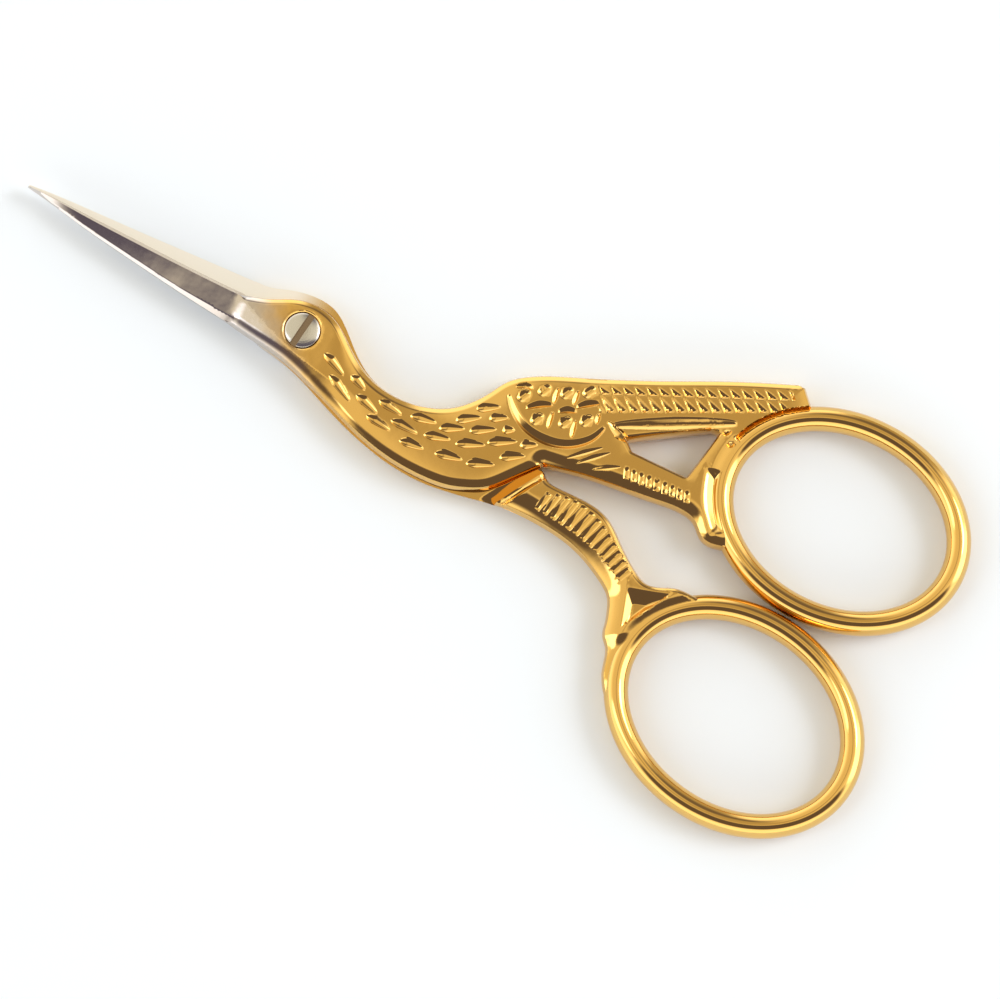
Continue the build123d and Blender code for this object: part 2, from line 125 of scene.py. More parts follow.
rear_throat_shares = [(0.975, -1.66), (0.94, -1.46), (0.929, -1.32), (0.92, -1.24),
                      (0.904, -1.17), (0.895, -1.06), (0.885, -0.94), (0.87, -0.83),
                      (0.845, -0.755), (0.795, -0.655), (0.745, -0.59), (0.695, -0.56),
                      (0.645, -0.55), (0.595, -0.555), (0.55, -0.575), (0.5, -0.62),
                      (0.45, -0.66), (0.4, -0.69), (0.35, -0.695), (0.3, -0.68),
                      (0.25, -0.645), (0.2, -0.595), (0.1, -0.46), (0.0, -0.33),
                      (-0.05, -0.298), (-0.1, -0.24), (-0.125, -0.16), (-0.15, -0.06)]
leg_step_shares = [(0.6225, -0.12), (0.5525, -0.6)]

# Blade stations from root to tip, in shares of BLADE_WIDTH and of half the forging
station_shares = [0.0, 0.25, 0.5, 0.75, 0.93, 1.0]
front_spine_shares = [-0.8, -0.643, -0.443, -0.21, 0.0, 0.067]
front_edge_shares = [0.19, 0.157, 0.157, 0.153, 0.14, 0.11]
rear_spine_shares = [0.713, 0.583, 0.45, 0.333, 0.227, 0.167]
rear_edge_shares = [-0.18, -0.083, -0.033, 0.0, 0.06, 0.12]
blade_height_shares = [1.0, 0.88, 0.74, 0.58, 0.44, 0.34]
spine_facet_shares = [0.2, 0.13, 0.14, 0.16, 0.2, 0.25]
edge_facet_shares = [0.13, 0.16, 0.22, 0.28, 0.33, 0.35]
spine_drop_shares = [0.4, 0.34, 0.34, 0.34, 0.34, 0.34]
edge_drop_shares = [0.55, 0.68, 0.75, 0.85, 0.88, 0.85]
FACET_FALL_SHARE = 0.3    # the main facet falls this much towards the spine

# Head: the main facet of the blade runs on below this ridge and fades in the neck
head_ridge_shares = [(-0.15, 0.0), (-0.05, -0.15), (0.0, -0.205), (0.0875, -0.27), (0.2, -0.36)]
HEAD_FACET_SLOPE = math.radians(14)

# Carving

# Neck feathers: middle in shares of BIRD_LENGTH and BIRD_DEPTH, degrees, millimetres
neck_feathers = [(0.099, -0.145, -22, 2.3), (0.165, -0.19, -20, 1.6), (0.135, -0.31, -25, 2.6),
                 (0.205, -0.325, -15, 2.2), (0.255, -0.255, -6, 2.1), (0.2475, -0.425, -6, 2.2),
                 (0.3025, -0.35, 0, 2.3), (0.3325, -0.21, 12, 2.1), (0.335, -0.46, 8, 2.0),
                 (0.3775, -0.295, 17, 2.1), (0.3975, -0.165, 27, 2.0), (0.42, -0.4, 14, 2.2),
                 (0.42, -0.02, 35, 2.0), (0.45, -0.215, 25, 2.3), (0.46, -0.05, 32, 2.1),
                 (0.4475, 0.15, 33, 1.9), (0.478, 0.11, 32, 1.5), (0.51, -0.065, 30, 2.3),
                 (0.49, -0.33, 25, 2.2), (0.51, 0.055, 30, 1.0), (0.565, 0.02, 30, 1.4),
                 (0.545, -0.14, 32, 2.0)]
wing_line_shares = [(0.47, 0.345), (0.49, 0.255), (0.5375, 0.14), (0.58, 0.115), (0.62, 0.14),
                    (0.66, 0.23), (0.685, 0.35), (0.695, 0.48)]
wing_bar_shares = [((0.5625, 0.606), (0.57, 0.45)), ((0.605, 0.67), (0.61, 0.52)),
                   ((0.577, 0.39), (0.584, 0.23)), ((0.63, 0.42), (0.64, 0.25)),
                   ((0.67, 0.57), (0.675, 0.46))]
wing_arc_shares = [((0.52, 0.297), (0.546, 0.385), (0.57, 0.436)),
                   ((0.587, 0.4), (0.605, 0.452), (0.624, 0.48)),
                   ((0.618, 0.512), (0.64, 0.59), (0.66, 0.643)),
                   ((0.4775, 0.427), (0.495, 0.472), (0.515, 0.488))]
wing_eye_shares = [(0.503, 0.39), (0.5375, 0.52), (0.584, 0.59), (0.627, 0.69), (0.5525, 0.26),
                   (0.611, 0.35), (0.651, 0.45)]
tail_line_shares = [((0.6375, 0.786), (1.03, 1.57)), ((0.65, 0.722), (1.04, 1.477)),
                    ((0.675, 0.586), (1.025, 1.323))]
# Cuts of the chisel: half width to the left and right of the line, and depth
DROP_CUT = (0.56, 0.34, 0.19)
WING_LINE_CUT = (0.55, 0.3, 0.28)
WING_BAR_CUT = (0.16, 0.28, 0.2)
WING_ARC_CUT = (0.46, 0.2, 0.22)
EYE_CUT = (0.42, 0.42, 0.17)
UNDER_TAIL_CUT = (0.6, 0.5, 0.36)
CORNER_CUT = (0.3, 0.65, 0.32)
KNOB_CUT = (0.3, 0.3, 0.3)
THIGH_CUT = (0.3, 0.18, 0.15)
LEG_STEP_CUT = (0.2, 0.25, 0.25)
EYE_LEAN = math.radians(62)
LEG_STEP_AWAY = (0.55, 0.1)    # from the step of the leg to the cut beside it
HOLLOW_DEPTH = 0.5
CREASE = 0.07              # how softly the slopes of a hollow meet
FEATHER_PITCH = 1.05
FEATHER_SLANT = math.radians(68)
FEATHER_FALL = 0.29        # from a feather's upper right corner to its lower left one
under_tail_shares = [(0.708, 0.52), (0.7625, 0.645), (0.819, 0.77), (0.885, 0.915), (0.95, 1.05)]
corner_mark_shares = [(0.695, 0.54), (0.7575, 0.468)]
knob_mark_shares = [((0.93, 0.905), (0.9475, 0.97)), ((0.95, 0.83), (0.965, 0.885))]
# Hollow of the upper yoke: turns round the ring's middle and reach outside its rod's middle
UPPER_HOLLOW_TURNS = (188, 199, 210, 221)
UPPER_HOLLOW_REACH = 1.75
lower_hollow_shares = [(0.904, -0.697), (0.9318, -1.035), (0.9945, -0.57)]
rib_foot_shares = [(0.635, -0.45), (0.73, -0.48), (0.81, -0.55), (0.885, -0.69)]
rib_top_shares = [(0.645, -0.29), (0.703, -0.22), (0.77, -0.26), (0.83, -0.38), (0.9, -0.57)]
upper_rib_foot_shares = [(0.78, 0.152), (0.94, 0.22)]
upper_rib_top_shares = [(0.771, 0.24), (0.931, 0.308)]
RIB_PITCH = 0.78
UPPER_RIB_PITCH = 0.66
RIB_WIDTH = 0.14
RIB_DEPTH = 0.12
UPPER_RIB_DEPTH = 0.1
thigh_mark_shares = [((0.65, 0.07), (0.7125, 0.31)), ((0.675, 0.07), (0.7325, 0.3)),
                     ((0.7125, 0.09), (0.7675, 0.23))]

UPPER_RING_START_SHARE = 0.9475
LOWER_RING_START_SHARE = 0.9365
RING_LINE_SHARE = -0.25
SEAT_REACH = 0.15          # how far outside the rod's middle the yoke plates end
DRAFT_WIDTH = 0.22         # the side walls lean in by this much
DRAFT_DEPTH = 0.75
BORDER_ROWS = (0.03, 0.08, 0.15, 0.23, 0.32, 0.42, 0.53, 0.65, 0.78, 0.92, 1.06)
ROD_ROWS = (0.25, 0.4, 0.55, 0.7, 0.87, 1.05, 1.2, 1.4)    # of mesh places along a rod
COUNTERBORE_ROWS = (0.05, 0.1, 0.16)

# Stations along the bird, or distances outside a rod, between which a change is eased
BODY_START = (2.6, 6.5)
LEG_START = (24, 28)
HEAD_FACET_END = (1.5, 8.5)
UNDER_TAIL_START = (9.2, 9.9)    # across the bird
CROWN_START = 0.3          # inside the border
CROWN_REACH = 1.1
LEG_CROWN_LOSS = 0.6       # the legs are this much flatter
SEAT_FALL = 0.2            # the yoke plates sink beside the rods
SEAT_EASE = (0.15, 1.4)
TAIL_SEAT_FALL = 1.1       # and the tail has a wall there
TAIL_SEAT_EASE = (0.78, 0.96)
TAIL_SEAT_LINES = (0.77, 0.97)


# Lines and distances in the plan

def placed(shares):
    """Outline points in millimetres from a table of shares."""
    return [(along * BIRD_LENGTH, across * BIRD_DEPTH) for along, across in shares]


def curve_through(points, step):
    """Smooth line through the points, as places about one step apart."""
    knots = np.array(points, float)
    reach = np.linalg.norm(np.diff(knots, axis=0), axis=1)
    at = np.concatenate([[0], np.cumsum(reach)])
    count = len(knots)
    system = np.zeros((count, count))
    target = np.zeros((count, 2))
    system[0, 0] = system[-1, -1] = 1
    for i in range(1, count - 1):
        system[i, i - 1:i + 2] = reach[i - 1], 2 * (reach[i - 1] + reach[i]), reach[i]
        target[i] = 6 * ((knots[i + 1] - knots[i]) / reach[i]
                         - (knots[i] - knots[i - 1]) / reach[i - 1])
    bend = np.linalg.solve(system, target)
    place = np.linspace(0, at[-1], max(2, round(at[-1] / step) + 1))
    i = np.clip(np.searchsorted(at, place) - 1, 0, count - 2)
    run = reach[i][:, None]
    a = (at[i + 1] - place)[:, None] / run
    b = 1 - a
    return (a * knots[i] + b * knots[i + 1]
            + ((a ** 3 - a) * bend[i] + (b ** 3 - b) * bend[i + 1]) * run ** 2 / 6)


def straight(points, step):
    """Places about one step apart on straight runs between the points."""
    corners = np.array(points, float)
    rows = [corners[:1]]
    for start, end in zip(corners, corners[1:]):
        count = max(1, round(np.linalg.norm(end - start) / step))
        share = np.arange(1, count + 1)[:, None] / count
        rows.append(start + (end - start) * share)
    return np.concatenate(rows)


def unit(way):
    return way / np.linalg.norm(way)


def left_of(line):
    """Unit vectors to the left of a line at its places."""
    way = np.gradient(line, axis=0)
    way /= np.linalg.norm(way, axis=1)[:, None]
    return np.stack([-way[:, 1], way[:, 0]], 1)


def triangle_net(low, high, pitch, rise):
    """Places of a triangular net between two corners."""
    x, y = np.meshgrid(np.arange(low[0], high[0], pitch), np.arange(low[1], high[1], rise))
    x = x + pitch / 2 * (np.arange(len(x)) % 2)[:, None]
    return np.stack([x.ravel(), y.ravel()], 1)


def circle(radius, step):
    """Closed ring of places round the pivot."""
    turn = np.linspace(0, 2 * math.pi, max(24, round(2 * math.pi * radius / step)), False)
    return np.stack([radius * np.cos(turn), radius * np.sin(turn)], 1)


def along_line(places, line):
    """For each place: distance to the line, side (+1 is left) and share of its length."""
    start, run = line[:-1], np.diff(line, axis=0)
    length = np.linalg.norm(run, axis=1)
    begin = np.concatenate([[0], np.cumsum(length)[:-1]])
    distance, side, share = [], [], []
    for block in np.array_split(places, max(1, len(places) * len(run) // 400000 + 1)):
        away = block[:, None] - start
        t = np.clip((away * run).sum(-1) / length ** 2, 0, 1)
        gap = away - t[..., None] * run
        square = (gap ** 2).sum(-1)
        near = square.argmin(1)
        row = np.arange(len(block))
        distance.append(np.sqrt(square[row, near]))
        cross = run[near, 0] * away[row, near, 1] - run[near, 1] * away[row, near, 0]
        side.append(np.where(cross >= 0, 1.0, -1.0))
        share.append((begin[near] + t[row, near] * length[near]) / length.sum())
    return np.concatenate(distance), np.concatenate(side), np.concatenate(share)


def within(places, rim):
    """True for the places inside a closed rim."""
    inside = np.zeros(len(places), bool)
    x, y = places[:, 0], places[:, 1]
    for (ax, ay), (bx, by) in zip(rim, np.roll(rim, -1, 0)):
        if ay != by:
            crosses = (ay > y) != (by > y)
            inside ^= crosses & (x < (bx - ax) * (y - ay) / (by - ay) + ax)
    return inside


def ease(value, low, high):
    """Smooth step from 0 at low to 1 at high."""
    t = np.clip((value - low) / (high - low), 0, 1)
    return t * t * (3 - 2 * t)


def soft_positive(value, softness):
    """The value where it is positive and nought where it isn't, rounded at the change."""
    return (value + np.sqrt(value ** 2 + softness ** 2)) / 2


# Finger rings

def ring_place(lower):
    """Centre, half length and half height of the rod's middle line, and tilt of a ring."""
    grow = LOWER_RING_SHARE if lower else 1
    along = RING_HOLE_LENGTH * grow / 2
    across = RING_HOLE_HEIGHT * grow / 2
    tilt = LOWER_RING_TILT if lower else 0
    start = LOWER_RING_START_SHARE if lower else UPPER_RING_START_SHARE
    reach = math.hypot((along + RING_BAND) * math.cos(tilt), (across + RING_BAND) * math.sin(tilt))
    rise = math.hypot((along + RING_BAND) * math.sin(tilt), (across + RING_BAND) * math.cos(tilt))
    side = -1 if lower else 1
    centre = (start * BIRD_LENGTH + reach,
              RING_LINE_SHARE * BIRD_DEPTH + side * (RING_GAP / 2 + rise))
    return centre, along + RING_BAND / 2, across + RING_BAND / 2, tilt


def outside_ring(places, lower):
    """Distance of places outside the middle line of a ring's rod."""
    centre, along, across, tilt = ring_place(lower)
    x, y = (places - np.array(centre)).T
    u = x * math.cos(tilt) + y * math.sin(tilt)
    v = y * math.cos(tilt) - x * math.sin(tilt)
    radius = np.hypot(u / along, v / across)
    return np.hypot(u, v) * (radius - 1) / np.maximum(radius, 0.01)


def round_ring(lower, reach):
    """Places round a ring at a distance outside its rod's middle."""
    centre, along, across, tilt = ring_place(lower)
    turn = np.linspace(0, 2 * math.pi, 500, False)
    u, v = (along + reach) * np.cos(turn), (across + reach) * np.sin(turn)
    return np.stack([centre[0] + u * math.cos(tilt) - v * math.sin(tilt),
                     centre[1] + u * math.sin(tilt) + v * math.cos(tilt)], 1)


# Chisel marks

class Mark:
    """A groove or pit cut along a line, with its half widths left and right of the line."""

    def __init__(self, line, left, right, depth, belly=0.5, fullness=0.5, scooped=False):
        self.line, self.scooped = np.array(line, float), scooped
        self.left, self.right, self.depth = left, right, depth
        self.belly, self.fullness = belly, fullness
        self.length = np.linalg.norm(np.diff(self.line, axis=0), axis=1).sum()

    def swell(self, share):
        """Width and depth along the mark, from nought at its ends to 1 at its belly."""
        rise = np.minimum(share / self.belly, (1 - share) / (1 - self.belly))
        return np.clip(rise, 0, 1) ** self.fullness

    def width(self, share):
        return self.swell(share)

    def near(self, places):
        reach = max(self.left, self.right) * 1.4
        low, high = self.line.min(0) - reach, self.line.max(0) + reach
        return ((places > low) & (places < high)).all(1)

    def measure(self, places):
        """Share of the half width at which each place lies, and swell there."""
        distance, side, share = along_line(places, self.line)
        half = np.where(side > 0, self.left, self.right) * self.width(share)
        return distance / np.maximum(half, 0.02), self.swell(share)

    def cut(self, places):
        """Depth of the mark at the places."""
        across, swell = self.measure(places)
        if self.scooped:
            return self.depth * swell * np.clip(1 - across ** 2, 0, 1)
        wall = 1.15 - np.sqrt(across ** 2 + 0.03)
        return self.depth * swell * soft_positive(wall - 0.12, 0.05)

    def rows(self):
        """Places on the mark's bottom, walls and rims."""
        count = max(5, round(self.length / 0.16))
        place = np.linspace(0, 1, count + 1)
        run = np.concatenate([[0], np.cumsum(np.linalg.norm(np.diff(self.line, axis=0), axis=1))])
        bottom = np.stack([np.interp(place * self.length, run, axis) for axis in self.line.T], 1)
        left = left_of(bottom)
        width = self.width(place)[:, None]
        return [bottom + left * across * (self.left if across > 0 else self.right) * width
                for across in (-1.25, -1.0, -0.8, -0.4, 0, 0.4, 0.8, 1.0, 1.25)]

    def guides(self):
        """Lines of the mark that the triangulation keeps: its rims and its bottom."""
        rows = self.rows()
        return rows[1], rows[4], rows[7]


class Flute(Mark):
    """A round scoop of even width between two ribs."""

    def width(self, share):
        return np.ones_like(share)

    def swell(self, share):
        return np.clip(np.minimum(share, 1 - share) / 0.07, 0, 1)

    def cut(self, places):
        across, swell = self.measure(places)
        return self.depth * swell * np.clip(1 - across ** 2, 0, 1)


class Eye(Mark):
    """An oval bowl round a short line."""

    def width(self, share):
        return np.ones_like(share)

    def swell(self, share):
        return np.ones_like(share)

    def rows(self):
        """Rings of places round the line."""
        way = (self.line[1] - self.line[0]) / self.length
        turn = np.linspace(0, 2 * math.pi, 32, False)
        ahead, aside = np.cos(turn)[:, None] * way, np.sin(turn)[:, None] * (-way[1], way[0])
        centre = np.where(np.cos(turn)[:, None] > 0, self.line[1], self.line[0])
        rows = [straight(self.line, 0.12)]
        return rows + [centre + (ahead + aside) * self.left * reach
                       for reach in (0.25, 0.5, 0.7, 0.85, 0.98, 1.12, 1.35)]

    def guides(self):
        return []


class Hollow:
    """A hollow beside a ring: a slope from each side of its outline and a wall along the rod,
    the creases between them rounded."""

    def __init__(self, corners, slopes, depth, lower, rim):
        self.corners = np.array(corners, float)          # against the clock
        self.slopes, self.depth = slopes, depth
        self.lower, self.rim = lower, rim

    def near(self, places):
        low, high = self.corners.min(0) - 0.2, self.corners.max(0) + 0.2
        return ((places > low) & (places < high)).all(1)

    def fall(self, places):
        """Depth of the nearest side's slope, negative outside the hollow."""
        falls = [(outside_ring(places, self.lower) - self.rim) * 1.2]
        for start, end, slope in zip(self.corners, np.roll(self.corners, -1, 0), self.slopes):
            way = unit(end - start)
            away = places - start
            falls.append((way[0] * away[:, 1] - way[1] * away[:, 0]) * slope)
        return -CREASE * np.log(np.exp(-np.array(falls) / CREASE).sum(0))

    def measure(self, places):
        fall = self.fall(places)
        return np.where(fall > -0.1, 0.0, 9.0), fall

    def cut(self, places):
        return soft_positive(np.minimum(self.fall(places), self.depth), 0.08)

    def rows(self):
        """Places of a close grid over the hollow, and of rows along the rod."""
        grid = triangle_net(self.corners.min(0) - 0.15, self.corners.max(0) + 0.15, 0.09, 0.08)
        rows = [grid[outside_ring(grid, self.lower) > self.rim + 0.6]]
        rows += [round_ring(self.lower, self.rim + reach) for reach in
                 (-0.1, 0, 0.08, 0.16, 0.24, 0.32, 0.4, 0.5)]
        rows = [row[self.near(row)] for row in rows]
        return [row[self.fall(row) > -0.12] for row in rows]

    def guides(self):
        return []


def neck_marks():
    """Drop-shaped feathers of neck and breast, blunt towards the head."""
    marks = []
    for along, across, angle, length in neck_feathers:
        middle = np.array([along * BIRD_LENGTH, across * BIRD_DEPTH])
        way = np.array([math.cos(math.radians(angle)), math.sin(math.radians(angle))])
        line = [middle - way * length * 0.6, middle + way * length * 0.58]
        marks.append(Mark(line, *DROP_CUT, belly=0.3, fullness=0.45, scooped=True))
    return marks


def wing_marks():
    """Line round the wing, bars and arcs between its feathers, and their eyes."""
    line = curve_through(placed(wing_line_shares), 0.2)
    marks = [Mark(line, *WING_LINE_CUT, fullness=0.25)]
    for ends in wing_bar_shares:
        marks.append(Mark(placed(ends), *WING_BAR_CUT, fullness=0.35))
    for points in wing_arc_shares:
        marks.append(Mark(curve_through(placed(points), 0.2), *WING_ARC_CUT, fullness=0.3))
    way = np.array([math.cos(EYE_LEAN), math.sin(EYE_LEAN)])
    for eye in placed(wing_eye_shares):
        line = [np.array(eye) - way * 0.2, np.array(eye) + way * 0.3]
        marks.append(Eye(line, *EYE_CUT, scooped=True))
    return marks


class FeatherRow:
    """Row of overlapping tail feathers between two lines: each falls to its lower left corner,
    where two short steep walls end it."""

    def __init__(self, top, foot):
        self.top, self.foot = np.array(top), np.array(foot)
        self.way = unit(self.top[1] - self.top[0])
        self.length = np.linalg.norm(self.top[1] - self.top[0])

    def below(self, places, line):
        way, away = unit(line[1] - line[0]), places - line[0]
        return away[:, 0] * way[1] - away[:, 1] * way[0]

    def cell(self, places):
        """Place along the row, way down it and its height there."""
        down = self.below(places, self.top)
        height = np.maximum(down - self.below(places, self.foot), 0.01)
        return (places - self.top[0]) @ self.way - down / math.tan(FEATHER_SLANT), down, height

    def covers(self, places, margin):
        run, down, height = self.cell(places)
        return (down > -margin) & (down < height + margin) & (
            run > -FEATHER_PITCH / 2 - margin) & (run < self.length - FEATHER_PITCH / 2 + margin)

    def cut(self, places):
        run, down, height = self.cell(places)
        right = run % FEATHER_PITCH
        fall = FEATHER_FALL * (down / height - right / (0.85 * FEATHER_PITCH))
        wall = np.minimum(right, height - down)
        return np.maximum(np.minimum(fall, wall), 0) * self.covers(places, 0)

    def rows(self):
        """Places of a net that follows the feathers' edges."""
        places = []
        side = np.array([self.way[1], -self.way[0]])
        for feather in range(-1, int(self.length / FEATHER_PITCH) + 1):
            for down in (0.02, 0.14, 0.27, 0.4, 0.52, 0.63, 0.73, 0.82, 0.9, 0.98):
                for part in (0.02, 0.1, 0.18, 0.28, 0.4, 0.53, 0.66, 0.8, 0.9, 0.98):
                    start = self.top[0] + self.way * (feather + part) * FEATHER_PITCH
                    depth = -self.below(start[None], self.foot)[0] * down
                    places.append(start + side * depth
                                  + self.way * depth / math.tan(FEATHER_SLANT))
        return np.array(places)


def feather_rows():
    lines = [placed(line) for line in tail_line_shares]
    return [FeatherRow(top, foot) for top, foot in zip(lines, lines[1:])]


def rib_marks(foot_shares, top_shares, pitch, depth):
    """Round cuts that leave thin ribs of skin standing across a leg."""
    foot_line, top_line = [curve_through(placed(shares), 0.1) if len(shares) > 2
                           else straight(placed(shares), 0.1)
                           for shares in (foot_shares, top_shares)]
    count = int(len(foot_line) * 0.1 / pitch)
    ribs = []
    for step in range(count + 1):
        ends = [line[round(step / count * (len(line) - 1))] for line in (foot_line, top_line)]
        ribs.append(np.array(ends))
    marks = []
    for rib, following in zip(ribs, ribs[1:]):
        middle = (rib + following) / 2
        way = unit(middle[1] - middle[0])
        step = (following - rib).mean(0)
        half = (abs(way[0] * step[1] - way[1] * step[0]) - RIB_WIDTH) / 2
        marks.append(Flute(middle, half, half, depth))
    return marks


def upper_hollow():
    """Hollow of the upper yoke, along the outside of the ring's rod."""
    centre, along, across, _ = ring_place(False)
    corners = []
    for reach, turns in ((UPPER_HOLLOW_REACH, UPPER_HOLLOW_TURNS),
                         (0.3, UPPER_HOLLOW_TURNS[::-3])):
        for turn in turns:
            corners.append((centre[0] + (along + reach) * math.cos(math.radians(turn)),
                            centre[1] + (across + reach) * math.sin(math.radians(turn))))
    return Hollow(corners, (0.5, 0.5, 0.5, 0.6, 9, 0.6), HOLLOW_DEPTH, False, 0.45)


def front_marks():
    marks = neck_marks() + wing_marks()
    marks += rib_marks(upper_rib_foot_shares, upper_rib_top_shares, UPPER_RIB_PITCH,
                       UPPER_RIB_DEPTH)
    marks.append(Mark(curve_through(placed(under_tail_shares), 0.2), *UNDER_TAIL_CUT,
                      fullness=0.25))
    marks.append(Mark(placed(corner_mark_shares), *CORNER_CUT, belly=0.6, scooped=True))
    marks.append(upper_hollow())
    for ends in knob_mark_shares:
        marks.append(Mark(placed(ends), *KNOB_CUT))
    for ends in thigh_mark_shares:
        marks.append(Mark(placed(ends), *THIGH_CUT))
    return marks


def rear_marks():
    marks = neck_marks() + rib_marks(rib_foot_shares, rib_top_shares, RIB_PITCH, RIB_DEPTH)
    step = np.array(placed(leg_step_shares))
    marks.append(Mark(step + LEG_STEP_AWAY, *LEG_STEP_CUT, fullness=0.2))
    marks.append(Hollow(placed(lower_hollow_shares), (0.8, 9, 0.4), HOLLOW_DEPTH, True, 0.95))
    return marks


# Blades

def blade_levels(x, spine_line, edge_line):
    """Across and height of the blade's section at x: edge, ridge, spine facet, spine."""
    station = (HEAD_END - x) / (BLADE_LENGTH + HEAD_END)
    spine = np.interp(-x, -spine_line[:, 0], spine_line[:, 1])
    edge = np.interp(-x, -edge_line[:, 0], edge_line[:, 1])
    height = np.interp(station, station_shares, blade_height_shares) * (MID - INNER_GAP / 2)
    width = edge - spine
    ridge = edge - np.interp(station, station_shares, edge_facet_shares) * width
    facet = spine + np.interp(station, station_shares, spine_facet_shares) * width
    at_edge = height * (1 - np.interp(station, station_shares, edge_drop_shares))
    at_facet = height * (1 - FACET_FALL_SHARE)
    at_spine = height * (1 - np.interp(station, station_shares, spine_drop_shares)) - (
        height * FACET_FALL_SHARE / 2)
    return (edge, ridge, facet, spine), (at_edge, height, at_facet, at_spine)


def blade_depth(places, spine_line, edge_line):
    """How far a blade's ground facets lie below the face of the forging."""
    x, y = places.T
    across, height = blade_levels(x, spine_line, edge_line)
    level = np.full(len(x), -9.0)
    for i in range(3):
        a, b = across[i], across[i + 1]
        t = np.clip((y - a) / (b - a), 0, 1)
        level = np.where((y - a) * (y - b) <= 0, height[i] + (height[i + 1] - height[i]) * t, level)
    beyond = np.where(abs(y - across[0]) < abs(y - across[3]), height[0], height[3])
    level = np.where(level < -8, beyond, level)
    return MID - INNER_GAP / 2 - level


# Forged halves

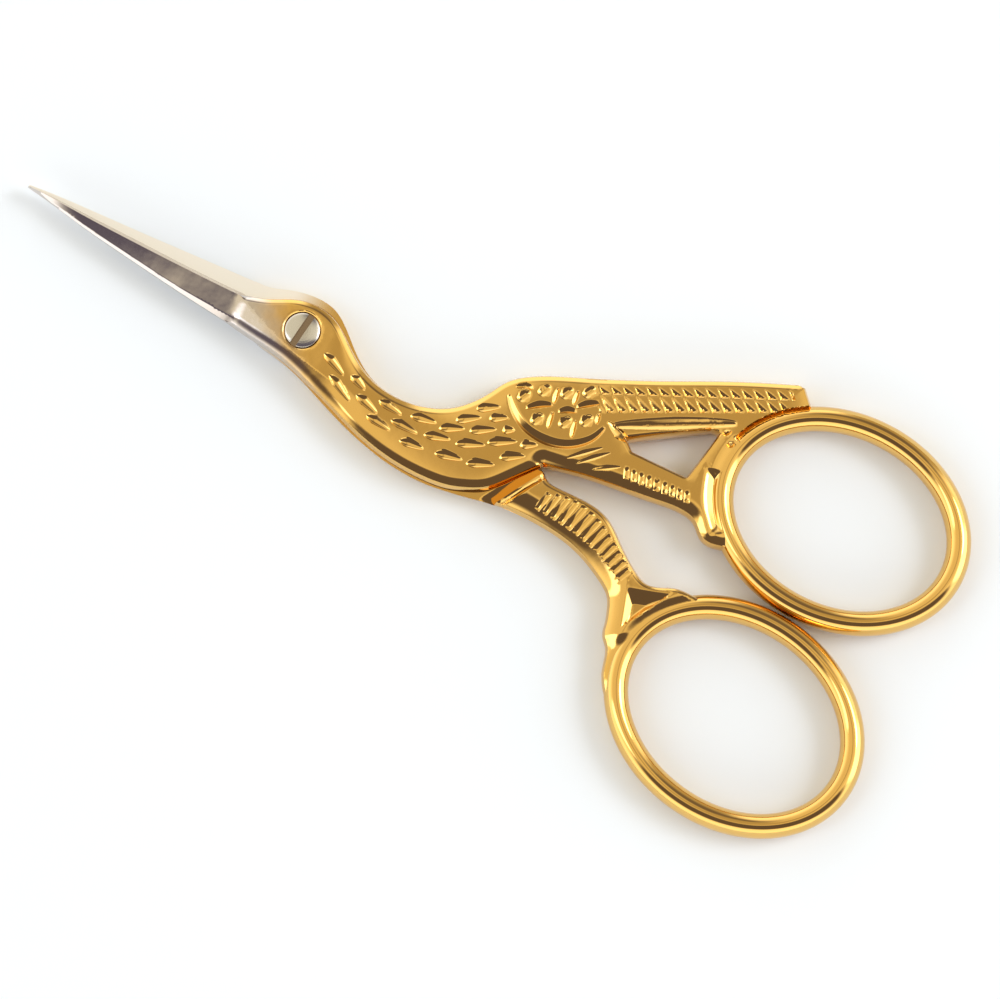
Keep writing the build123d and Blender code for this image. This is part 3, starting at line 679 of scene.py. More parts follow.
class Half:
    """Plan, borders and relief of one half of the scissors. A border is its line, its width in
    shares of the widest one, its steepness at the outline and its roundness."""

    def __init__(self, lower, step=0.13):
        self.lower = lower
        self.side = -1 if lower else 1
        blade = ((rear_spine_shares, rear_edge_shares) if lower
                 else (front_spine_shares, front_edge_shares))
        x = [HEAD_END - (BLADE_LENGTH + HEAD_END) * s for s in station_shares]
        spine_line, edge_line = [
            curve_through([(a, b * BLADE_WIDTH) for a, b in zip(x, shares)], step * 3)
            for shares in blade]
        self.blade_lines = (spine_line, edge_line)
        if lower:
            crown, parting, leg, throat = [curve_through(placed(shares), step) for shares in (
                rear_crown_shares, parting_shares, lower_leg_top_shares, rear_throat_shares)]
            chain = [spine_line[::-1], crown, parting, leg, throat, edge_line]
            neck = throat[throat[:, 0] < 23.5]
            shin = throat[throat[:, 0] > 23]
            self.borders = [(crown, 0.35, 0.6, 2), (leg, 0.5, 0.8, 1.3), (neck, 1.0, 0.62, 2),
                            (shin, 2.5, 0.62, 2)]
            self.window = None
            self.step_line = straight(placed(leg_step_shares), step)
            self.marks = rear_marks()
            self.feathers = []
        else:
            crown, yoke, throat = [curve_through(placed(shares), step) for shares in (
                front_crown_shares, front_yoke_shares, front_throat_shares)]
            end = straight(placed(front_crown_shares[-1:] + tail_end_shares), step)
            chain = [edge_line[::-1], crown, end, yoke, throat, spine_line]
            window = placed(window_shares)
            self.window = straight(window + window[:1], step)[:-1]
            rim = np.vstack([self.window, self.window[:1]])
            self.borders = [(crown, 0.7, 0.78, 1.3), (end, 0.3, 0.8, 2), (yoke, 1.6, 0.62, 2),
                            (throat, 1.0, 0.62, 2), (rim, 0.45, 0.8, 2)]
            self.step_line = curve_through(placed(parting_shares), step) + (0, PARTING_GAP)
            self.marks = front_marks()
            self.feathers = feather_rows()
        rows = [chain[0]]
        for line in chain[1:]:
            near = np.linalg.norm(line[0] - rows[-1][-1]) < step / 2
            rows.append(line[1:] if near else line)
        outline = np.concatenate(rows)
        if np.linalg.norm(outline[0] - outline[-1]) < step / 2:
            outline = outline[:-1]
        self.outline = outline[::-1]          # against the clock

    def holds(self, places):
        """True where the half has metal in plan, the ring's seat left out."""
        keep = within(places, self.outline) & (outside_ring(places, self.lower) > SEAT_REACH)
        if self.window is not None:
            keep &= ~within(places, self.window)
        return keep & (np.hypot(*places.T) > BORE)

    def blade_side(self, places):
        """True on the blade side of the line where the inner face ends."""
        far = HEAD_END - BLADE_LENGTH
        first, last = self.step_line[0], self.step_line[-1]
        reach = 2 * BIRD_DEPTH
        rim = np.vstack([self.step_line, (last[0], -reach), (far, -reach), (far, reach),
                         (first[0], reach)])
        return within(places, rim)

    def border(self, places):
        """Distance to the nearest sloped border."""
        return np.min([along_line(places, item[0])[0] for item in self.borders], axis=0)

    def border_depth(self, places, widest):
        """Fall of the borders: ever steeper towards the outline, then the draft of the wall."""
        deepest = np.zeros(len(places))
        for line, share, steepness, roundness in self.borders:
            distance = along_line(places, line)[0]
            slope = np.clip(1 - distance / (widest * share), 0, 1) ** roundness
            draft = np.clip(1 - distance / DRAFT_WIDTH, 0, 1) ** 1.5
            deepest = np.maximum(deepest, steepness * widest * share / roundness * slope
                                 + DRAFT_DEPTH * draft)
        return deepest

    def depth(self, places, forging):
        """How far the carved face lies below the plane of the forging's face."""
        x, y = places.T
        body = ease(x, *BODY_START)
        inward = np.maximum(self.border(places) - CROWN_START, 0)
        total = self.border_depth(places, forging.bevel / MM)
        crown = forging.crown / MM * body * (1 - LEG_CROWN_LOSS * ease(x, *LEG_START))
        total += crown * np.exp(-inward / CROWN_REACH)
        if not self.lower:
            ridge = curve_through(placed(head_ridge_shares), 0.2)
            below, side, _ = along_line(places, ridge)
            slope = math.tan(HEAD_FACET_SLOPE) * np.where(side < 0, below, 0)
            total += slope * (1 - ease(x, *HEAD_FACET_END))
        ring = outside_ring(places, self.lower)
        under_tail = 0 if self.lower else ease(y, *UNDER_TAIL_START)
        total += (1 - under_tail) * SEAT_FALL * (1 - ease(ring, *SEAT_EASE))
        total += under_tail * TAIL_SEAT_FALL * (1 - ease(ring, *TAIL_SEAT_EASE))
        on_blade = 1 - ease(x, HEAD_END - 0.9, HEAD_END + 0.6)
        total = total * (1 - on_blade) + blade_depth(places, *self.blade_lines) * on_blade
        carving = np.zeros(len(places))
        for mark in self.marks:
            near = mark.near(places)
            if near.any():
                carving[near] = np.maximum(carving[near], mark.cut(places[near]))
        for row in self.feathers:
            carving = np.maximum(carving, row.cut(places))
        total += carving * forging.carving
        if not self.lower:
            radius = np.hypot(x, y)
            total += soft_positive(COUNTERBORE + 0.1 - radius, 0.02) * (radius < 2.4)
        return np.minimum(total, MID - INNER_GAP / 2 - 0.02)

    def places(self):
        """Outline, guide lines and the places between them, for the triangulation."""
        loops = [self.outline, circle(BORE, 0.1)]
        if self.window is not None:
            loops.append(self.window)
        if not self.lower:
            loops.append(circle(COUNTERBORE, 0.1))
        loops.append(round_ring(self.lower, SEAT_REACH))
        lines = [self.step_line]
        free = [round_ring(self.lower, reach) for reach in ROD_ROWS]
        for reach in TAIL_SEAT_LINES:
            arc = round_ring(self.lower, reach)
            arc = arc[(arc[:, 1] > UNDER_TAIL_START[0]) & self.holds(arc)]
            if len(arc) > 2:
                lines.append(arc)
        for mark in self.marks:
            free += mark.rows()
            lines += [row for row in mark.guides() if self.holds(row).all()]
        for line, *_ in self.borders:
            left = left_of(line)
            for offset in BORDER_ROWS:
                for hand in (-1, 1):
                    row = line + left * offset * hand
                    free.append(row[self.border(row) > offset - 0.02])
        if not self.lower:
            free += [circle(COUNTERBORE + away, 0.12) for away in COUNTERBORE_ROWS]
        x = np.arange(HEAD_END - (BLADE_LENGTH + HEAD_END) + 0.3, HEAD_END + 0.4, 0.35)
        across, _ = blade_levels(x, *self.blade_lines)
        for line in across[1:3]:
            lines.append(np.stack([x, line], 1))
            for offset in (-0.05, 0.05):
                free.append(np.stack([x, line + offset], 1))
        ridge = curve_through(placed(head_ridge_shares), 0.2)
        for offset in (-0.06, 0, 0.06):
            free.append(ridge + (offset / 2, offset))
        spots = np.concatenate(free)
        for row in self.feathers:
            net = row.covers(spots, 0.02) & (self.border(spots) > 0.25)
            spots = np.concatenate([spots[~net], row.rows()])
        spots = spots[self.holds(spots)]
        bottom, top = self.outline[:, 1].min(), self.outline[:, 1].max()
        mesh = np.concatenate([
            triangle_net((low, bottom), (high, top), pitch, pitch * 0.87)
            for low, high, pitch in ((-BLADE_LENGTH, HEAD_END, 0.4), (HEAD_END, 3.0, 0.2),
                                     (3.0, BIRD_LENGTH + 5, 0.11))])
        mesh = mesh[self.holds(mesh)]
        crowded = np.zeros(len(mesh), bool)
        for mark in self.marks:
            near = mark.near(mesh)
            if near.any():
                crowded[near] |= mark.measure(mesh[near])[0] < 1.4
        for row in self.feathers:
            crowded |= row.covers(mesh, 0.06)
        rim = self.border(mesh) > np.where(mesh[:, 0] < HEAD_END, 0, 1.0)
        return loops, lines, np.concatenate([spots, mesh[~crowded & rim]])


def triangulated(half):
    """Places and triangles over a half's plan, all borders and guide lines kept."""
    loops, lines, free = half.places()
    spots, edges = [], []
    count = 0
    for line, closed in [(loop, True) for loop in loops] + [(line, False) for line in lines]:
        index = np.arange(len(line)) + count
        ends = np.roll(index, -1) if closed else index[1:]
        edges += list(zip(index.tolist(), ends.tolist()))
        spots.append(line)
        count += len(line)
    spots.append(free)
    plan = np.concatenate(spots)
    made = delaunay_2d_cdt([Vector(p) for p in plan], edges, [], 0, 1e-5, False)
    places = np.array([tuple(v) for v in made[0]])
    triangles = np.array([f for f in made[2] if len(f) == 3])
    centre = places[triangles].mean(1)
    return places, triangles[half.holds(centre)]


def half_mesh(name, half, forging):
    """Closed mesh of a forged half: carved face, inner face, and the walls between."""
    places, triangles = triangulated(half)
    depth = half.depth(places, forging)
    centre = places[triangles].mean(1)
    side = half.side
    face = MID + side * (MID - depth)
    seat = np.full(len(places), THICKNESS - SCREW_HEAD_SEAT)
    inner = np.full(len(places), MID + side * INNER_GAP / 2)
    if half.lower:
        inner -= COVE_DEPTH * np.clip(1 - along_line(places, half.step_line)[0] / COVE_WIDTH, 0, 1)
    back = MID - side * (MID - depth)
    in_seat = (np.hypot(*centre.T) < COUNTERBORE) & (not half.lower)
    outer_region = in_seat.astype(int)
    inner_region = 2 + (~half.blade_side(centre)).astype(int)
    heights = [face, seat, inner, back]
    points, faces, copies = [], [], {}
    index = np.full((4, len(places)), -1)
    satin = []
    for region, height in enumerate(heights):
        mask = (outer_region == region) | (inner_region == region)
        used = np.unique(triangles[mask])
        index[region, used] = np.arange(len(used)) + len(points)
        points += np.column_stack([places[used], height[used]]).tolist()
        faces += index[region][triangles[mask]].tolist()
        satin += ((region == 2) & (centre[mask, 0] < GILT_END)).astype(int).tolist()
    owner = {}
    for number, corners in enumerate(triangles.tolist()):
        for a, b in zip(corners, corners[1:] + corners[:1]):
            owner[a, b] = number
    heights = np.array(heights)

    def between(place, first, last):
        """Copies of a place from one region's height to another's."""
        low, high = sorted((heights[first, place], heights[last, place]))
        found = [r for r in range(4) if index[r, place] >= 0 and r not in (first, last)
                 and low + 1e-6 < heights[r, place] < high - 1e-6]
        downwards = bool(heights[first, place] > heights[last, place])
        found.sort(key=lambda r: heights[r, place], reverse=downwards)
        return [int(index[r, place]) for r in (first, *found, last)]

    for (a, b), number in owner.items():
        twin = owner.get((b, a))
        if twin is None:
            walls = [(outer_region[number], inner_region[number])]
        else:
            walls = [(regions[number], regions[twin]) for regions in (outer_region, inner_region)
                     if regions[number] < regions[twin]]
        for first, last in walls:
            faces.append(between(a, first, last) + between(b, first, last)[::-1])
    mesh = bpy.data.meshes.new(name)
    mesh.from_pydata([(x * MM, y * MM, z * MM) for x, y, z in points], [], faces)
    mesh.polygons.foreach_set("material_index", satin + [0] * (len(faces) - len(satin)))
    piece = bpy.data.objects.new(name, mesh)
    bpy.context.scene.collection.objects.link(piece)
    return piece


# Modelling by hand

def choose(*pieces):
    """Selects these pieces alone, the first one active."""
    bpy.ops.object.select_all(action="DESELECT")
    for piece in pieces:
        piece.select_set(True)
    bpy.context.view_layer.objects.active = pieces[0]


def closed_and_smooth(piece, angle):
    """Merges doubles, turns the faces outwards and shades smooth up to an angle."""
    choose(piece)
    bpy.ops.object.mode_set(mode="EDIT")
    bpy.ops.mesh.select_all(action="SELECT")
    bpy.ops.mesh.remove_doubles(threshold=1e-7)
    bpy.ops.mesh.normals_make_consistent(inside=False)
    bpy.ops.object.mode_set(mode="OBJECT")
    bpy.ops.object.shade_smooth_by_angle(angle=math.radians(angle))


def finished(piece, materials, node):
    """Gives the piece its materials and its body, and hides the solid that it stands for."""
    for material in materials:
        piece.data.materials.append(material)
    body = "rear" if node != "front_half" else "front"
    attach(piece, body)
    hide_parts(node)


def ring_piece(name, lower):
    """Oval rod bent round an oval path."""
    centre, along, across, tilt = ring_place(lower)
    bpy.ops.curve.primitive_bezier_circle_add(radius=1)
    section = bpy.context.object
    section.scale = (RING_BAND / 2 * MM, RING_ROD_HEIGHT / 2 * MM, 1)
    section.data.resolution_u = ROD_FACETS // 4
    bpy.ops.object.transform_apply(location=False, rotation=False, scale=True)
    bpy.ops.object.select_all(action="DESELECT")
    bpy.ops.curve.primitive_bezier_circle_add(radius=1)
    path = bpy.context.object
    path.scale = (along * MM, across * MM, 1)
    path.rotation_euler = (0, 0, tilt)
    path.location = (centre[0] * MM, centre[1] * MM, MID * MM)
    bpy.ops.object.transform_apply(location=True, rotation=True, scale=True)
    path.data.resolution_u = RING_FACETS // 4
    for point in path.data.splines[0].bezier_points:
        point.radius = 1
    path.data.bevel_mode = "OBJECT"
    path.data.bevel_object = section
    choose(path)
    bpy.ops.object.convert(target="MESH")
    piece = bpy.context.object
    piece.name = name
    bpy.data.objects.remove(section)
    closed_and_smooth(piece, 60)
    return piece


def screw_piece():
    """Slotted screw: a turned blank with domed head, and the slot cut through it."""
    under = THICKNESS - SCREW_HEAD_SEAT + HEAD_CLEARANCE
    radius = SCREW_HEAD_DIAMETER / 2
    shank = BORE * 0.98
    rim, top = THICKNESS - HEAD_DOME, THICKNESS + HEAD_DOME
    bpy.ops.mesh.primitive_circle_add(vertices=96, radius=shank * MM, fill_type="NGON",
                                      location=(0, 0, SHANK_END * MM))
    blank = bpy.context.object
    blank.name = "pivot_screw"
    bpy.ops.object.transform_apply(location=True, rotation=False, scale=False)
    bpy.ops.object.mode_set(mode="EDIT")
    bpy.ops.mesh.select_all(action="SELECT")
    profile = [(shank, under), (radius - 0.05, under), (radius, under + 0.05),
               (radius, rim - 0.06), (radius - 0.02, rim), (radius - 0.07, rim + 0.05)]
    for share in (0.85, 0.7, 0.55, 0.4, 0.25, 0.12):
        profile.append((radius * share, rim + 0.05 + (top - rim - 0.05) * (1 - share ** 2.2)))
    here = (shank, SHANK_END)
    for reach, height in profile:
        bpy.ops.mesh.extrude_region_move(
            TRANSFORM_OT_translate={"value": (0, 0, (height - here[1]) * MM)})
        grow = reach / here[0]
        bpy.ops.transform.resize(value=(grow, grow, 1), center_override=(0, 0, 0))
        here = (reach, height)
    bpy.ops.object.mode_set(mode="OBJECT")
    bpy.ops.object.select_all(action="DESELECT")
    bpy.ops.mesh.primitive_cube_add(size=1, location=(0, 0, (top - SLOT_DEPTH + 1) * MM))
    cutter = bpy.context.object
    cutter.scale = (2 * SCREW_HEAD_DIAMETER * MM, SLOT_WIDTH * MM, 2 * MM)
    cutter.rotation_euler = (0, 0, SLOT_ANGLE)
    bpy.ops.object.transform_apply(location=True, rotation=True, scale=True)
    choose(blank)
    cut = blank.modifiers.new("slot", "BOOLEAN")
    cut.object = cutter
    cut.operation = "DIFFERENCE"
    cut.solver = "EXACT"
    bpy.ops.object.modifier_apply(modifier=cut.name)
    bpy.data.objects.remove(cutter)
    edge = blank.modifiers.new("edge", "BEVEL")
    edge.width = 0.03 * MM
    edge.segments = 2
    edge.limit_method = "ANGLE"
    edge.angle_limit = math.radians(50)
    bpy.ops.object.modifier_apply(modifier=edge.name)
    closed_and_smooth(blank, 35)
    return blank


# Materials

# Patterns of the metals, in waves, clouds, grains or lines per millimetre
POLISH_WAVES = 0.62        # the felt wheel leaves waves 1.6 mm long
PLATE_CLOUDS = 0.26        # the plate is thicker and thinner in clouds of 4 mm
POLISH_GRAINS = 2.6        # real scratches are 0.005 mm wide, drawn 0.4 mm wide to show at all
DIP_WAVES = 0.6            # the edge of the gilding wanders in waves of 1.7 mm
STONE_LINES = 9            # lines of the grindstone across the blade, 0.11 mm apart
STONE_LINE_ENDS = 0.7      # and 1.4 mm long
LATHE_RINGS = 1.4          # rings 0.22 mm apart, because real ones of 0.05 mm wouldn't show


def linear(code):
    """Linear colour from an sRGB hex value."""
    parts = [int(code[i:i + 2], 16) / 255 for i in (1, 3, 5)]
    return tuple(c / 12.92 if c <= 0.04045 else ((c + 0.055) / 1.055) ** 2.4 for c in parts)


def add(tree, kind, inputs=(), **settings):
    """Adds a node with its settings. An input, by name or number, gets a socket or a value."""
    node = tree.nodes.new("ShaderNode" + kind)
    for key, value in settings.items():
        setattr(node, key, value)
    for key, source in dict(inputs).items():
        if isinstance(source, bpy.types.NodeSocket):
            tree.links.new(node.inputs[key], source)
        else:
            node.inputs[key].default_value = source
    return node


def new_material(name):
    """Empty node material with its output."""
    material = bpy.data.materials.new(name)
    material.use_nodes = True
    tree = material.node_tree
    tree.nodes.clear()
    return material, tree, add(tree, "OutputMaterial")


def gilt_forging(finish):
    """Gold electroplate over hand-polished forged steel. The gold ends on a slant near the
    pivot, past which the blades are bare ground steel: the eye gets a yellow mirror, a little
    wavy from the polishing, that turns grey-brown."""
    material, tree, out = new_material("gilt_forging")
    place = add(tree, "TexCoord").outputs["Object"]
    axes = add(tree, "SeparateXYZ", {"Vector": place}).outputs
    wander = add(tree, "TexNoise", {"Vector": place, "Scale": DIP_WAVES / MM, "Detail": 2.0})
    slant = add(tree, "Math", {0: axes["Y"], 1: 1.2, 2: axes["X"]}, operation="MULTIPLY_ADD")
    spread = add(tree, "Math", {0: wander.outputs["Fac"], 1: 3.0 * MM, 2: slant.outputs[0]},
                 operation="MULTIPLY_ADD")
    gilt = add(tree, "MapRange", {"Value": spread.outputs[0], "From Min": -4.5 * MM,
                                  "From Max": 1.2 * MM}, interpolation_type="SMOOTHSTEP")
    cloud = add(tree, "TexNoise", {"Vector": place, "Scale": PLATE_CLOUDS / MM, "Detail": 3.0})
    warm = add(tree, "Mix", {"Factor": cloud.outputs["Fac"], "A": (*linear("#EABC66"), 1),
                             "B": (*finish.gold, 1)}, data_type="RGBA")
    colour = add(tree, "Mix", {"Factor": gilt.outputs[0], "A": (*finish.steel, 1),
                               "B": warm.outputs["Result"]}, data_type="RGBA")
    grain = add(tree, "TexNoise", {"Vector": place, "Scale": POLISH_GRAINS / MM, "Detail": 4.0})
    polish = add(tree, "MapRange", {"Value": grain.outputs["Fac"], "To Min": finish.polish * 0.7,
                                    "To Max": finish.polish * 1.5})
    wave = add(tree, "TexNoise", {"Vector": place, "Scale": POLISH_WAVES / MM, "Detail": 2.0})
    bump = add(tree, "Bump", {"Height": wave.outputs["Fac"], "Strength": 1.0,
                              "Distance": 0.007 * MM})
    metal = add(tree, "BsdfPrincipled", {
        "Base Color": colour.outputs["Result"], "Roughness": polish.outputs[0],
        "Normal": bump.outputs[0], "Metallic": 1.0})
    tree.links.new(out.inputs["Surface"], metal.outputs[0])
    return material


def satin_steel(finish):
    """Nickel-plated steel, hollow ground on a stone: pale and satin, with fine lines across
    the blade. Near the pivot it takes on the gilding and shine of the outer faces."""
    material, tree, out = new_material("satin_steel")
    place = add(tree, "TexCoord").outputs["Object"]
    lines = (STONE_LINES / MM, STONE_LINE_ENDS / MM, STONE_LINE_ENDS / MM)
    stretch = add(tree, "Mapping", {"Vector": place, "Scale": lines})
    scratch = add(tree, "TexNoise", {"Vector": stretch.outputs[0], "Scale": 1.0, "Detail": 3.0})
    satin = add(tree, "MapRange", {"Value": scratch.outputs["Fac"], "To Min": 0.5,
                                   "To Max": 0.66})
    axes = add(tree, "SeparateXYZ", {"Vector": place}).outputs
    gilt = add(tree, "MapRange", {"Value": axes["X"], "From Min": -2.5 * MM,
                                  "From Max": GILT_END * MM}, interpolation_type="SMOOTHSTEP")
    colour = add(tree, "Mix", {"Factor": gilt.outputs[0], "A": (*finish.satin, 1),
                               "B": (*finish.gold, 1)}, data_type="RGBA")
    polish = add(tree, "Mix", {"Factor": gilt.outputs[0], "A": satin.outputs[0],
                               "B": finish.polish})
    bump = add(tree, "Bump", {"Height": scratch.outputs["Fac"], "Strength": 0.2,
                              "Distance": 0.01 * MM})
    metal = add(tree, "BsdfPrincipled", {
        "Base Color": colour.outputs["Result"], "Roughness": polish.outputs[0],
        "Normal": bump.outputs[0], "Metallic": 1.0})
    tree.links.new(out.inputs["Surface"], metal.outputs[0])
    return material


def turned_steel(finish):
    """Turned and polished steel of the screw: a grey mirror with rings from the lathe. Its colour
    is
    darker towards the bottom: grey-brown below the slot's floor, eased to the steel near the top."""
    material, tree, out = new_material("turned_steel")
    place = add(tree, "TexCoord").outputs["Object"]
    rings = add(tree, "TexWave", {"Vector": place, "Scale": LATHE_RINGS / MM, "Distortion": 0.4},
                wave_type="RINGS", rings_direction="Z")
    bump = add(tree, "Bump", {"Height": rings.outputs["Fac"], "Strength": 0.12,
                              "Distance": 0.01 * MM})
    axes = add(tree, "SeparateXYZ", {"Vector": place}).outputs
    # The screw's colour is darker towards the bottom: grey-brown below the slot's floor, eased into
    # the screw's steel near the top of the head
    height_fade = add(tree, "MapRange", {
        "Value": axes["Z"], "From Min": (THICKNESS + HEAD_DOME - SLOT_DEPTH) * MM,
        "From Max": (THICKNESS - 0.05) * MM}, interpolation_type="SMOOTHSTEP")
    colour = add(tree, "Mix", {"Factor": height_fade.outputs[0], "A": (*linear("#94816E"), 1),
                               "B": (*finish.screw, 1)}, data_type="RGBA")
    metal = add(tree, "BsdfPrincipled", {
        "Base Color": colour.outputs["Result"], "Normal": bump.outputs[0], "Metallic": 1.0,
        "Roughness": 0.2})
    tree.links.new(out.inputs["Surface"], metal.outputs[0])
    return material


def white_table(studio):
    """Matt white table: pure white to the eye, and it keeps the shadow."""
    material, tree, out = new_material("white_table")
    paint = add(tree, "BsdfDiffuse", {"Color": (*studio.table, 1)})
    tree.links.new(out.inputs["Surface"], paint.outputs[0])
    return material


# Studio: the camera's frame, the lamp and the tent

# The scissors lie with their length this far turned from the picture's width
PICTURE_RIGHT = Vector((0.8843, 0.4669, 0)).normalized()
PICTURE_UP = Vector((-PICTURE_RIGHT.y, PICTURE_RIGHT.x, 0))
LEAN = math.radians(9.0)
PICTURE_WIDTH = 88.2
PICTURE_CENTRE = (22.585, -5.27, THICKNESS)
TABLE_SIZE = 3.0           # metres, as the lamp's sizes are
TABLE_GAP = 0.00002
LAMP_SIZE = 0.22
LAMP_DISTANCE = 0.6
LAMP_AIM = Vector((0, 0, 0.66)) + PICTURE_RIGHT * 0.7 + PICTURE_UP * 0.2


def panel(tree, right, up, centre, reach, softness, turn=0.0):
    """Share of an oval panel of the tent in each direction, 1 inside and 0 beyond its edge."""
    spot = add(tree, "CombineXYZ", {"X": right, "Y": up})
    local = add(tree, "Mapping", {
        "Vector": spot.outputs[0], "Location": (*centre, 0),
        "Rotation": (0, 0, math.radians(turn)), "Scale": (*reach, 1)}, vector_type="TEXTURE")
    away = add(tree, "VectorMath", {0: local.outputs[0]}, operation="LENGTH")
    edge = add(tree, "MapRange", {
        "Value": away.outputs["Value"], "From Min": 1 - softness, "From Max": 1 + softness,
        "To Min": 1.0, "To Max": 0.0}, interpolation_type="SMOOTHSTEP")
    return edge.outputs[0]


# Panels of the light tent: colour, strength, middle and reach (right, up) as they show in a
# level mirror, softness of the edge, turn in degrees
TENT_PANELS = [
    ("#E9E2CE", 1.65, (0, 0), (0.86, 0.86), 0.14, 0),            # walls, warm and half lit
    ("#E3D9BF", 1.28, (-0.14, 0.2), (0.62, 0.56), 0.4, 0),       # ceiling
    ("#D9CDB4", 0.9, (0.5, 0.82), (0.32, 0.2), 0.3, -30),        # corner behind the stand
    ("#F4F7FF", 3.2, (0.9, -0.02), (0.3, 0.28), 0.2, 0),         # window on the right
    ("#F4F7FF", 3.0, (-0.66, -0.1), (0.24, 0.12), 0.25, -20),    # lamp screen on the left
    ("#8D8488", 0.85, (0.27, 0.6), (0.28, 0.25), 0.45, -25),     # stand
    ("#BDB094", 1.2, (0.05, 0.24), (0.08, 0.3), 0.6, -14),       # camera
    ("#7D7480", 0.75, (0.05, -0.45), (0.72, 0.33), 0.16, 0),     # opening that it looks through
]


def studio_sky(studio):
    """Light tent: pale walls, a bright window, and the dark opening where the camera looks in."""
    world = bpy.data.worlds.new("light_tent")
    bpy.context.scene.world = world
    world.use_nodes = True
    tree = world.node_tree
    tree.nodes.clear()
    out = add(tree, "OutputWorld")
    way = add(tree, "TexCoord").outputs["Generated"]
    right, up = [add(tree, "VectorMath", {0: way, 1: axis}, operation="DOT_PRODUCT")
                 .outputs["Value"] for axis in (PICTURE_RIGHT, PICTURE_UP)]
    tent = add(tree, "Background", {"Strength": 2.1 * studio.tent})
    for code, strength, *place in TENT_PANELS:
        light = add(tree, "Background", {"Color": (*linear(code), 1),
                                         "Strength": strength * studio.tent})
        share = panel(tree, right, up, *place)
        tent = add(tree, "MixShader", {"Fac": share, 1: tent.outputs[0], 2: light.outputs[0]})
    tree.links.new(out.inputs["Surface"], tent.outputs[0])


# Settings

def colour_setting(name, description, code):
    return bpy.props.FloatVectorProperty(name=name, description=description, subtype="COLOR",
                                         default=linear(code), min=0, max=1)


class ScissorForging(bpy.types.PropertyGroup):
    bevel: bpy.props.FloatProperty(
        name="Sloped border", description="Width of the widest slope along the bird's outline",
        default=0.95 * MM, min=0.1 * MM, max=1.5 * MM, precision=5, unit="LENGTH")
    crown: bpy.props.FloatProperty(
        name="Crown", description="How much the faces fall from their middle to the slope",
        default=0.2 * MM, min=0, max=0.5 * MM, precision=5, unit="LENGTH")
    carving: bpy.props.FloatProperty(
        name="Carving", description="Depth of the chisel marks, 1 as photographed",
        default=1.0, min=0, max=1.5, subtype="FACTOR")


class ScissorFinish(bpy.types.PropertyGroup):
    gold: colour_setting("Gold plate", "Colour of the gilt", "#E4B96D")
    steel: colour_setting("Blade steel", "Colour of the ground blades", "#D6CDC6")
    satin: colour_setting("Inner faces", "Colour of the satin inner faces", "#F6F3EC")
    screw: colour_setting("Screw steel", "Colour of the pivot screw", "#CFCBC4")
    polish: bpy.props.FloatProperty(
        name="Polish", description="Roughness of the plated metal, lower is shinier",
        default=0.06, min=0.02, max=0.5, subtype="FACTOR")


class ScissorStudio(bpy.types.PropertyGroup):
    table: colour_setting("Table", "Colour of the table", "#F0F7FF")
    tent: bpy.props.FloatProperty(
        name="Light tent", description="Strength of the tent's panels", default=1.0, min=0, max=5)
    key: bpy.props.FloatProperty(
        name="Key light", description="Power of the soft lamp at the upper right",
        default=0.6, min=0, max=20, unit="POWER")
    distance: bpy.props.FloatProperty(
        name="Camera distance", description="From the camera to the scissors",
        default=0.55, min=0.2, max=3, unit="LENGTH")


# Operators

class SCISSORS_OT_forged_half(bpy.types.Operator):
    """Model one carved half: blade, head, neck, body, leg and yoke"""
    bl_idname = "scissors.forged_half"
    bl_label = "Forged half"
    bl_options = {"REGISTER", "UNDO"}

    lower: bpy.props.BoolProperty(
        name="Rear half", description="The half that carries the lower ring", default=False)

    def execute(self, context):
        name = "rear_bird" if self.lower else "front_bird"
        piece = half_mesh(name, Half(self.lower), context.scene.scissor_forging)
        closed_and_smooth(piece, 32)
        node = "rear_half" if self.lower else "front_half"
        metals = [shared("gilt_forging", gilt_forging), shared("satin_steel", satin_steel)]
        finished(piece, metals, node)
        return {"FINISHED"}


class SCISSORS_OT_finger_ring(bpy.types.Operator):
    """Bend one finger ring and seat it in its yoke"""
    bl_idname = "scissors.finger_ring"
    bl_label = "Finger ring"
    bl_options = {"REGISTER", "UNDO"}

    lower: bpy.props.BoolProperty(
        name="Lower ring", description="The ring of the rear half", default=False)

    def execute(self, context):
        bpy.ops.object.select_all(action="DESELECT")
        piece = ring_piece("rear_ring" if self.lower else "front_ring", self.lower)
        node = "rear_half" if self.lower else "front_half"
        finished(piece, [shared("gilt_forging", gilt_forging)], node)
        return {"FINISHED"}


class SCISSORS_OT_pivot_screw(bpy.types.Operator):
    """Turn the slotted pivot screw"""
    bl_idname = "scissors.pivot_screw"
    bl_label = "Pivot screw"
    bl_options = {"REGISTER", "UNDO"}

    def execute(self, context):
        bpy.ops.object.select_all(action="DESELECT")
        metal = shared("turned_steel", turned_steel)
        finished(screw_piece(), [metal], "pivot_screw")
        return {"FINISHED"}


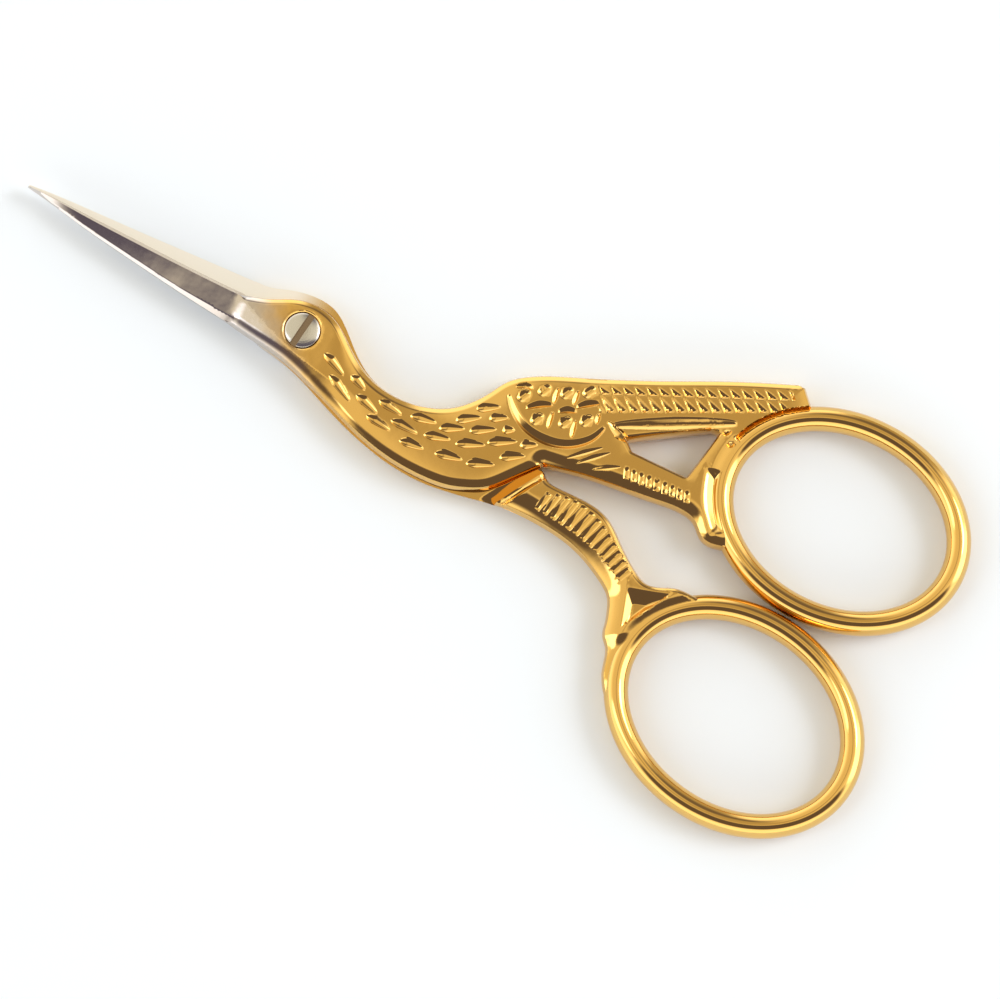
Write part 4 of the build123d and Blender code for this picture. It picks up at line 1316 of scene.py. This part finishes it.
class SCISSORS_OT_studio(bpy.types.Operator):
    """Set up the table, light tent, lamp and camera"""
    bl_idname = "scissors.studio"
    bl_label = "Studio"
    bl_options = {"REGISTER", "UNDO"}

    def execute(self, context):
        studio = context.scene.scissor_studio
        bpy.ops.object.select_all(action="DESELECT")
        bpy.ops.mesh.primitive_plane_add(size=TABLE_SIZE, location=(0, 0, cad_low.z - TABLE_GAP))
        table = context.object
        table.name = "table"
        table.data.materials.append(white_table(studio))
        studio_sky(studio)
        centre = Vector(PICTURE_CENTRE) * MM
        toward = Vector((0, 0, math.cos(LEAN))) - PICTURE_UP * math.sin(LEAN)
        data = bpy.data.cameras.new("camera")
        camera = bpy.data.objects.new("camera", data)
        context.scene.collection.objects.link(camera)
        context.scene.camera = camera
        camera.location = centre + toward * studio.distance
        turn = camera.matrix_world.to_3x3()
        turn.col[0], turn.col[1], turn.col[2] = PICTURE_RIGHT, toward.cross(PICTURE_RIGHT), toward
        camera.rotation_euler = turn.to_euler()
        data.lens = data.sensor_width * studio.distance / (PICTURE_WIDTH * MM)
        data.clip_start = 0.01
        lamp_data = bpy.data.lights.new("key_lamp", "AREA")
        lamp_data.shape = "DISK"
        lamp_data.size = LAMP_SIZE
        lamp_data.energy = studio.key
        lamp = bpy.data.objects.new("key_lamp", lamp_data)
        context.scene.collection.objects.link(lamp)
        lamp.location = centre + LAMP_AIM * LAMP_DISTANCE
        lamp.rotation_euler = LAMP_AIM.to_track_quat("Z", "Y").to_euler()
        context.scene.view_settings.view_transform = "Standard"
        return {"FINISHED"}


class SCISSORS_PT_panel(bpy.types.Panel):
    bl_idname = "SCISSORS_PT_panel"
    bl_label = "Embroidery scissors"
    bl_space_type = "VIEW_3D"
    bl_region_type = "UI"
    bl_category = "Scissors"

    def draw(self, context):
        scene = context.scene
        for group in (scene.scissor_forging, scene.scissor_finish, scene.scissor_studio):
            box = self.layout.box()
            for key in group.bl_rna.properties.keys():
                if key not in ("rna_type", "name"):
                    box.prop(group, key)
        for name in ("forged_half", "finger_ring", "pivot_screw", "studio"):
            self.layout.operator("scissors." + name)


def shared(name, make):
    """The material of that name, made once."""
    found = bpy.data.materials.get(name)
    return found or make(bpy.context.scene.scissor_finish)


CLASSES = (ScissorForging, ScissorFinish, ScissorStudio, SCISSORS_OT_forged_half,
           SCISSORS_OT_finger_ring, SCISSORS_OT_pivot_screw, SCISSORS_OT_studio,
           SCISSORS_PT_panel)


def register():
    for item in CLASSES:
        bpy.utils.register_class(item)
    bpy.types.Scene.scissor_forging = bpy.props.PointerProperty(type=ScissorForging)
    bpy.types.Scene.scissor_finish = bpy.props.PointerProperty(type=ScissorFinish)
    bpy.types.Scene.scissor_studio = bpy.props.PointerProperty(type=ScissorStudio)


def unregister():
    del bpy.types.Scene.scissor_forging
    del bpy.types.Scene.scissor_finish
    del bpy.types.Scene.scissor_studio
    for item in reversed(CLASSES):
        bpy.utils.unregister_class(item)


def main():
    register()
    for lower in (False, True):
        bpy.ops.scissors.forged_half(lower=lower)
        bpy.ops.scissors.finger_ring(lower=lower)
    bpy.ops.scissors.pivot_screw()
    bpy.ops.scissors.studio()


if __name__ == "__main__":
    main()
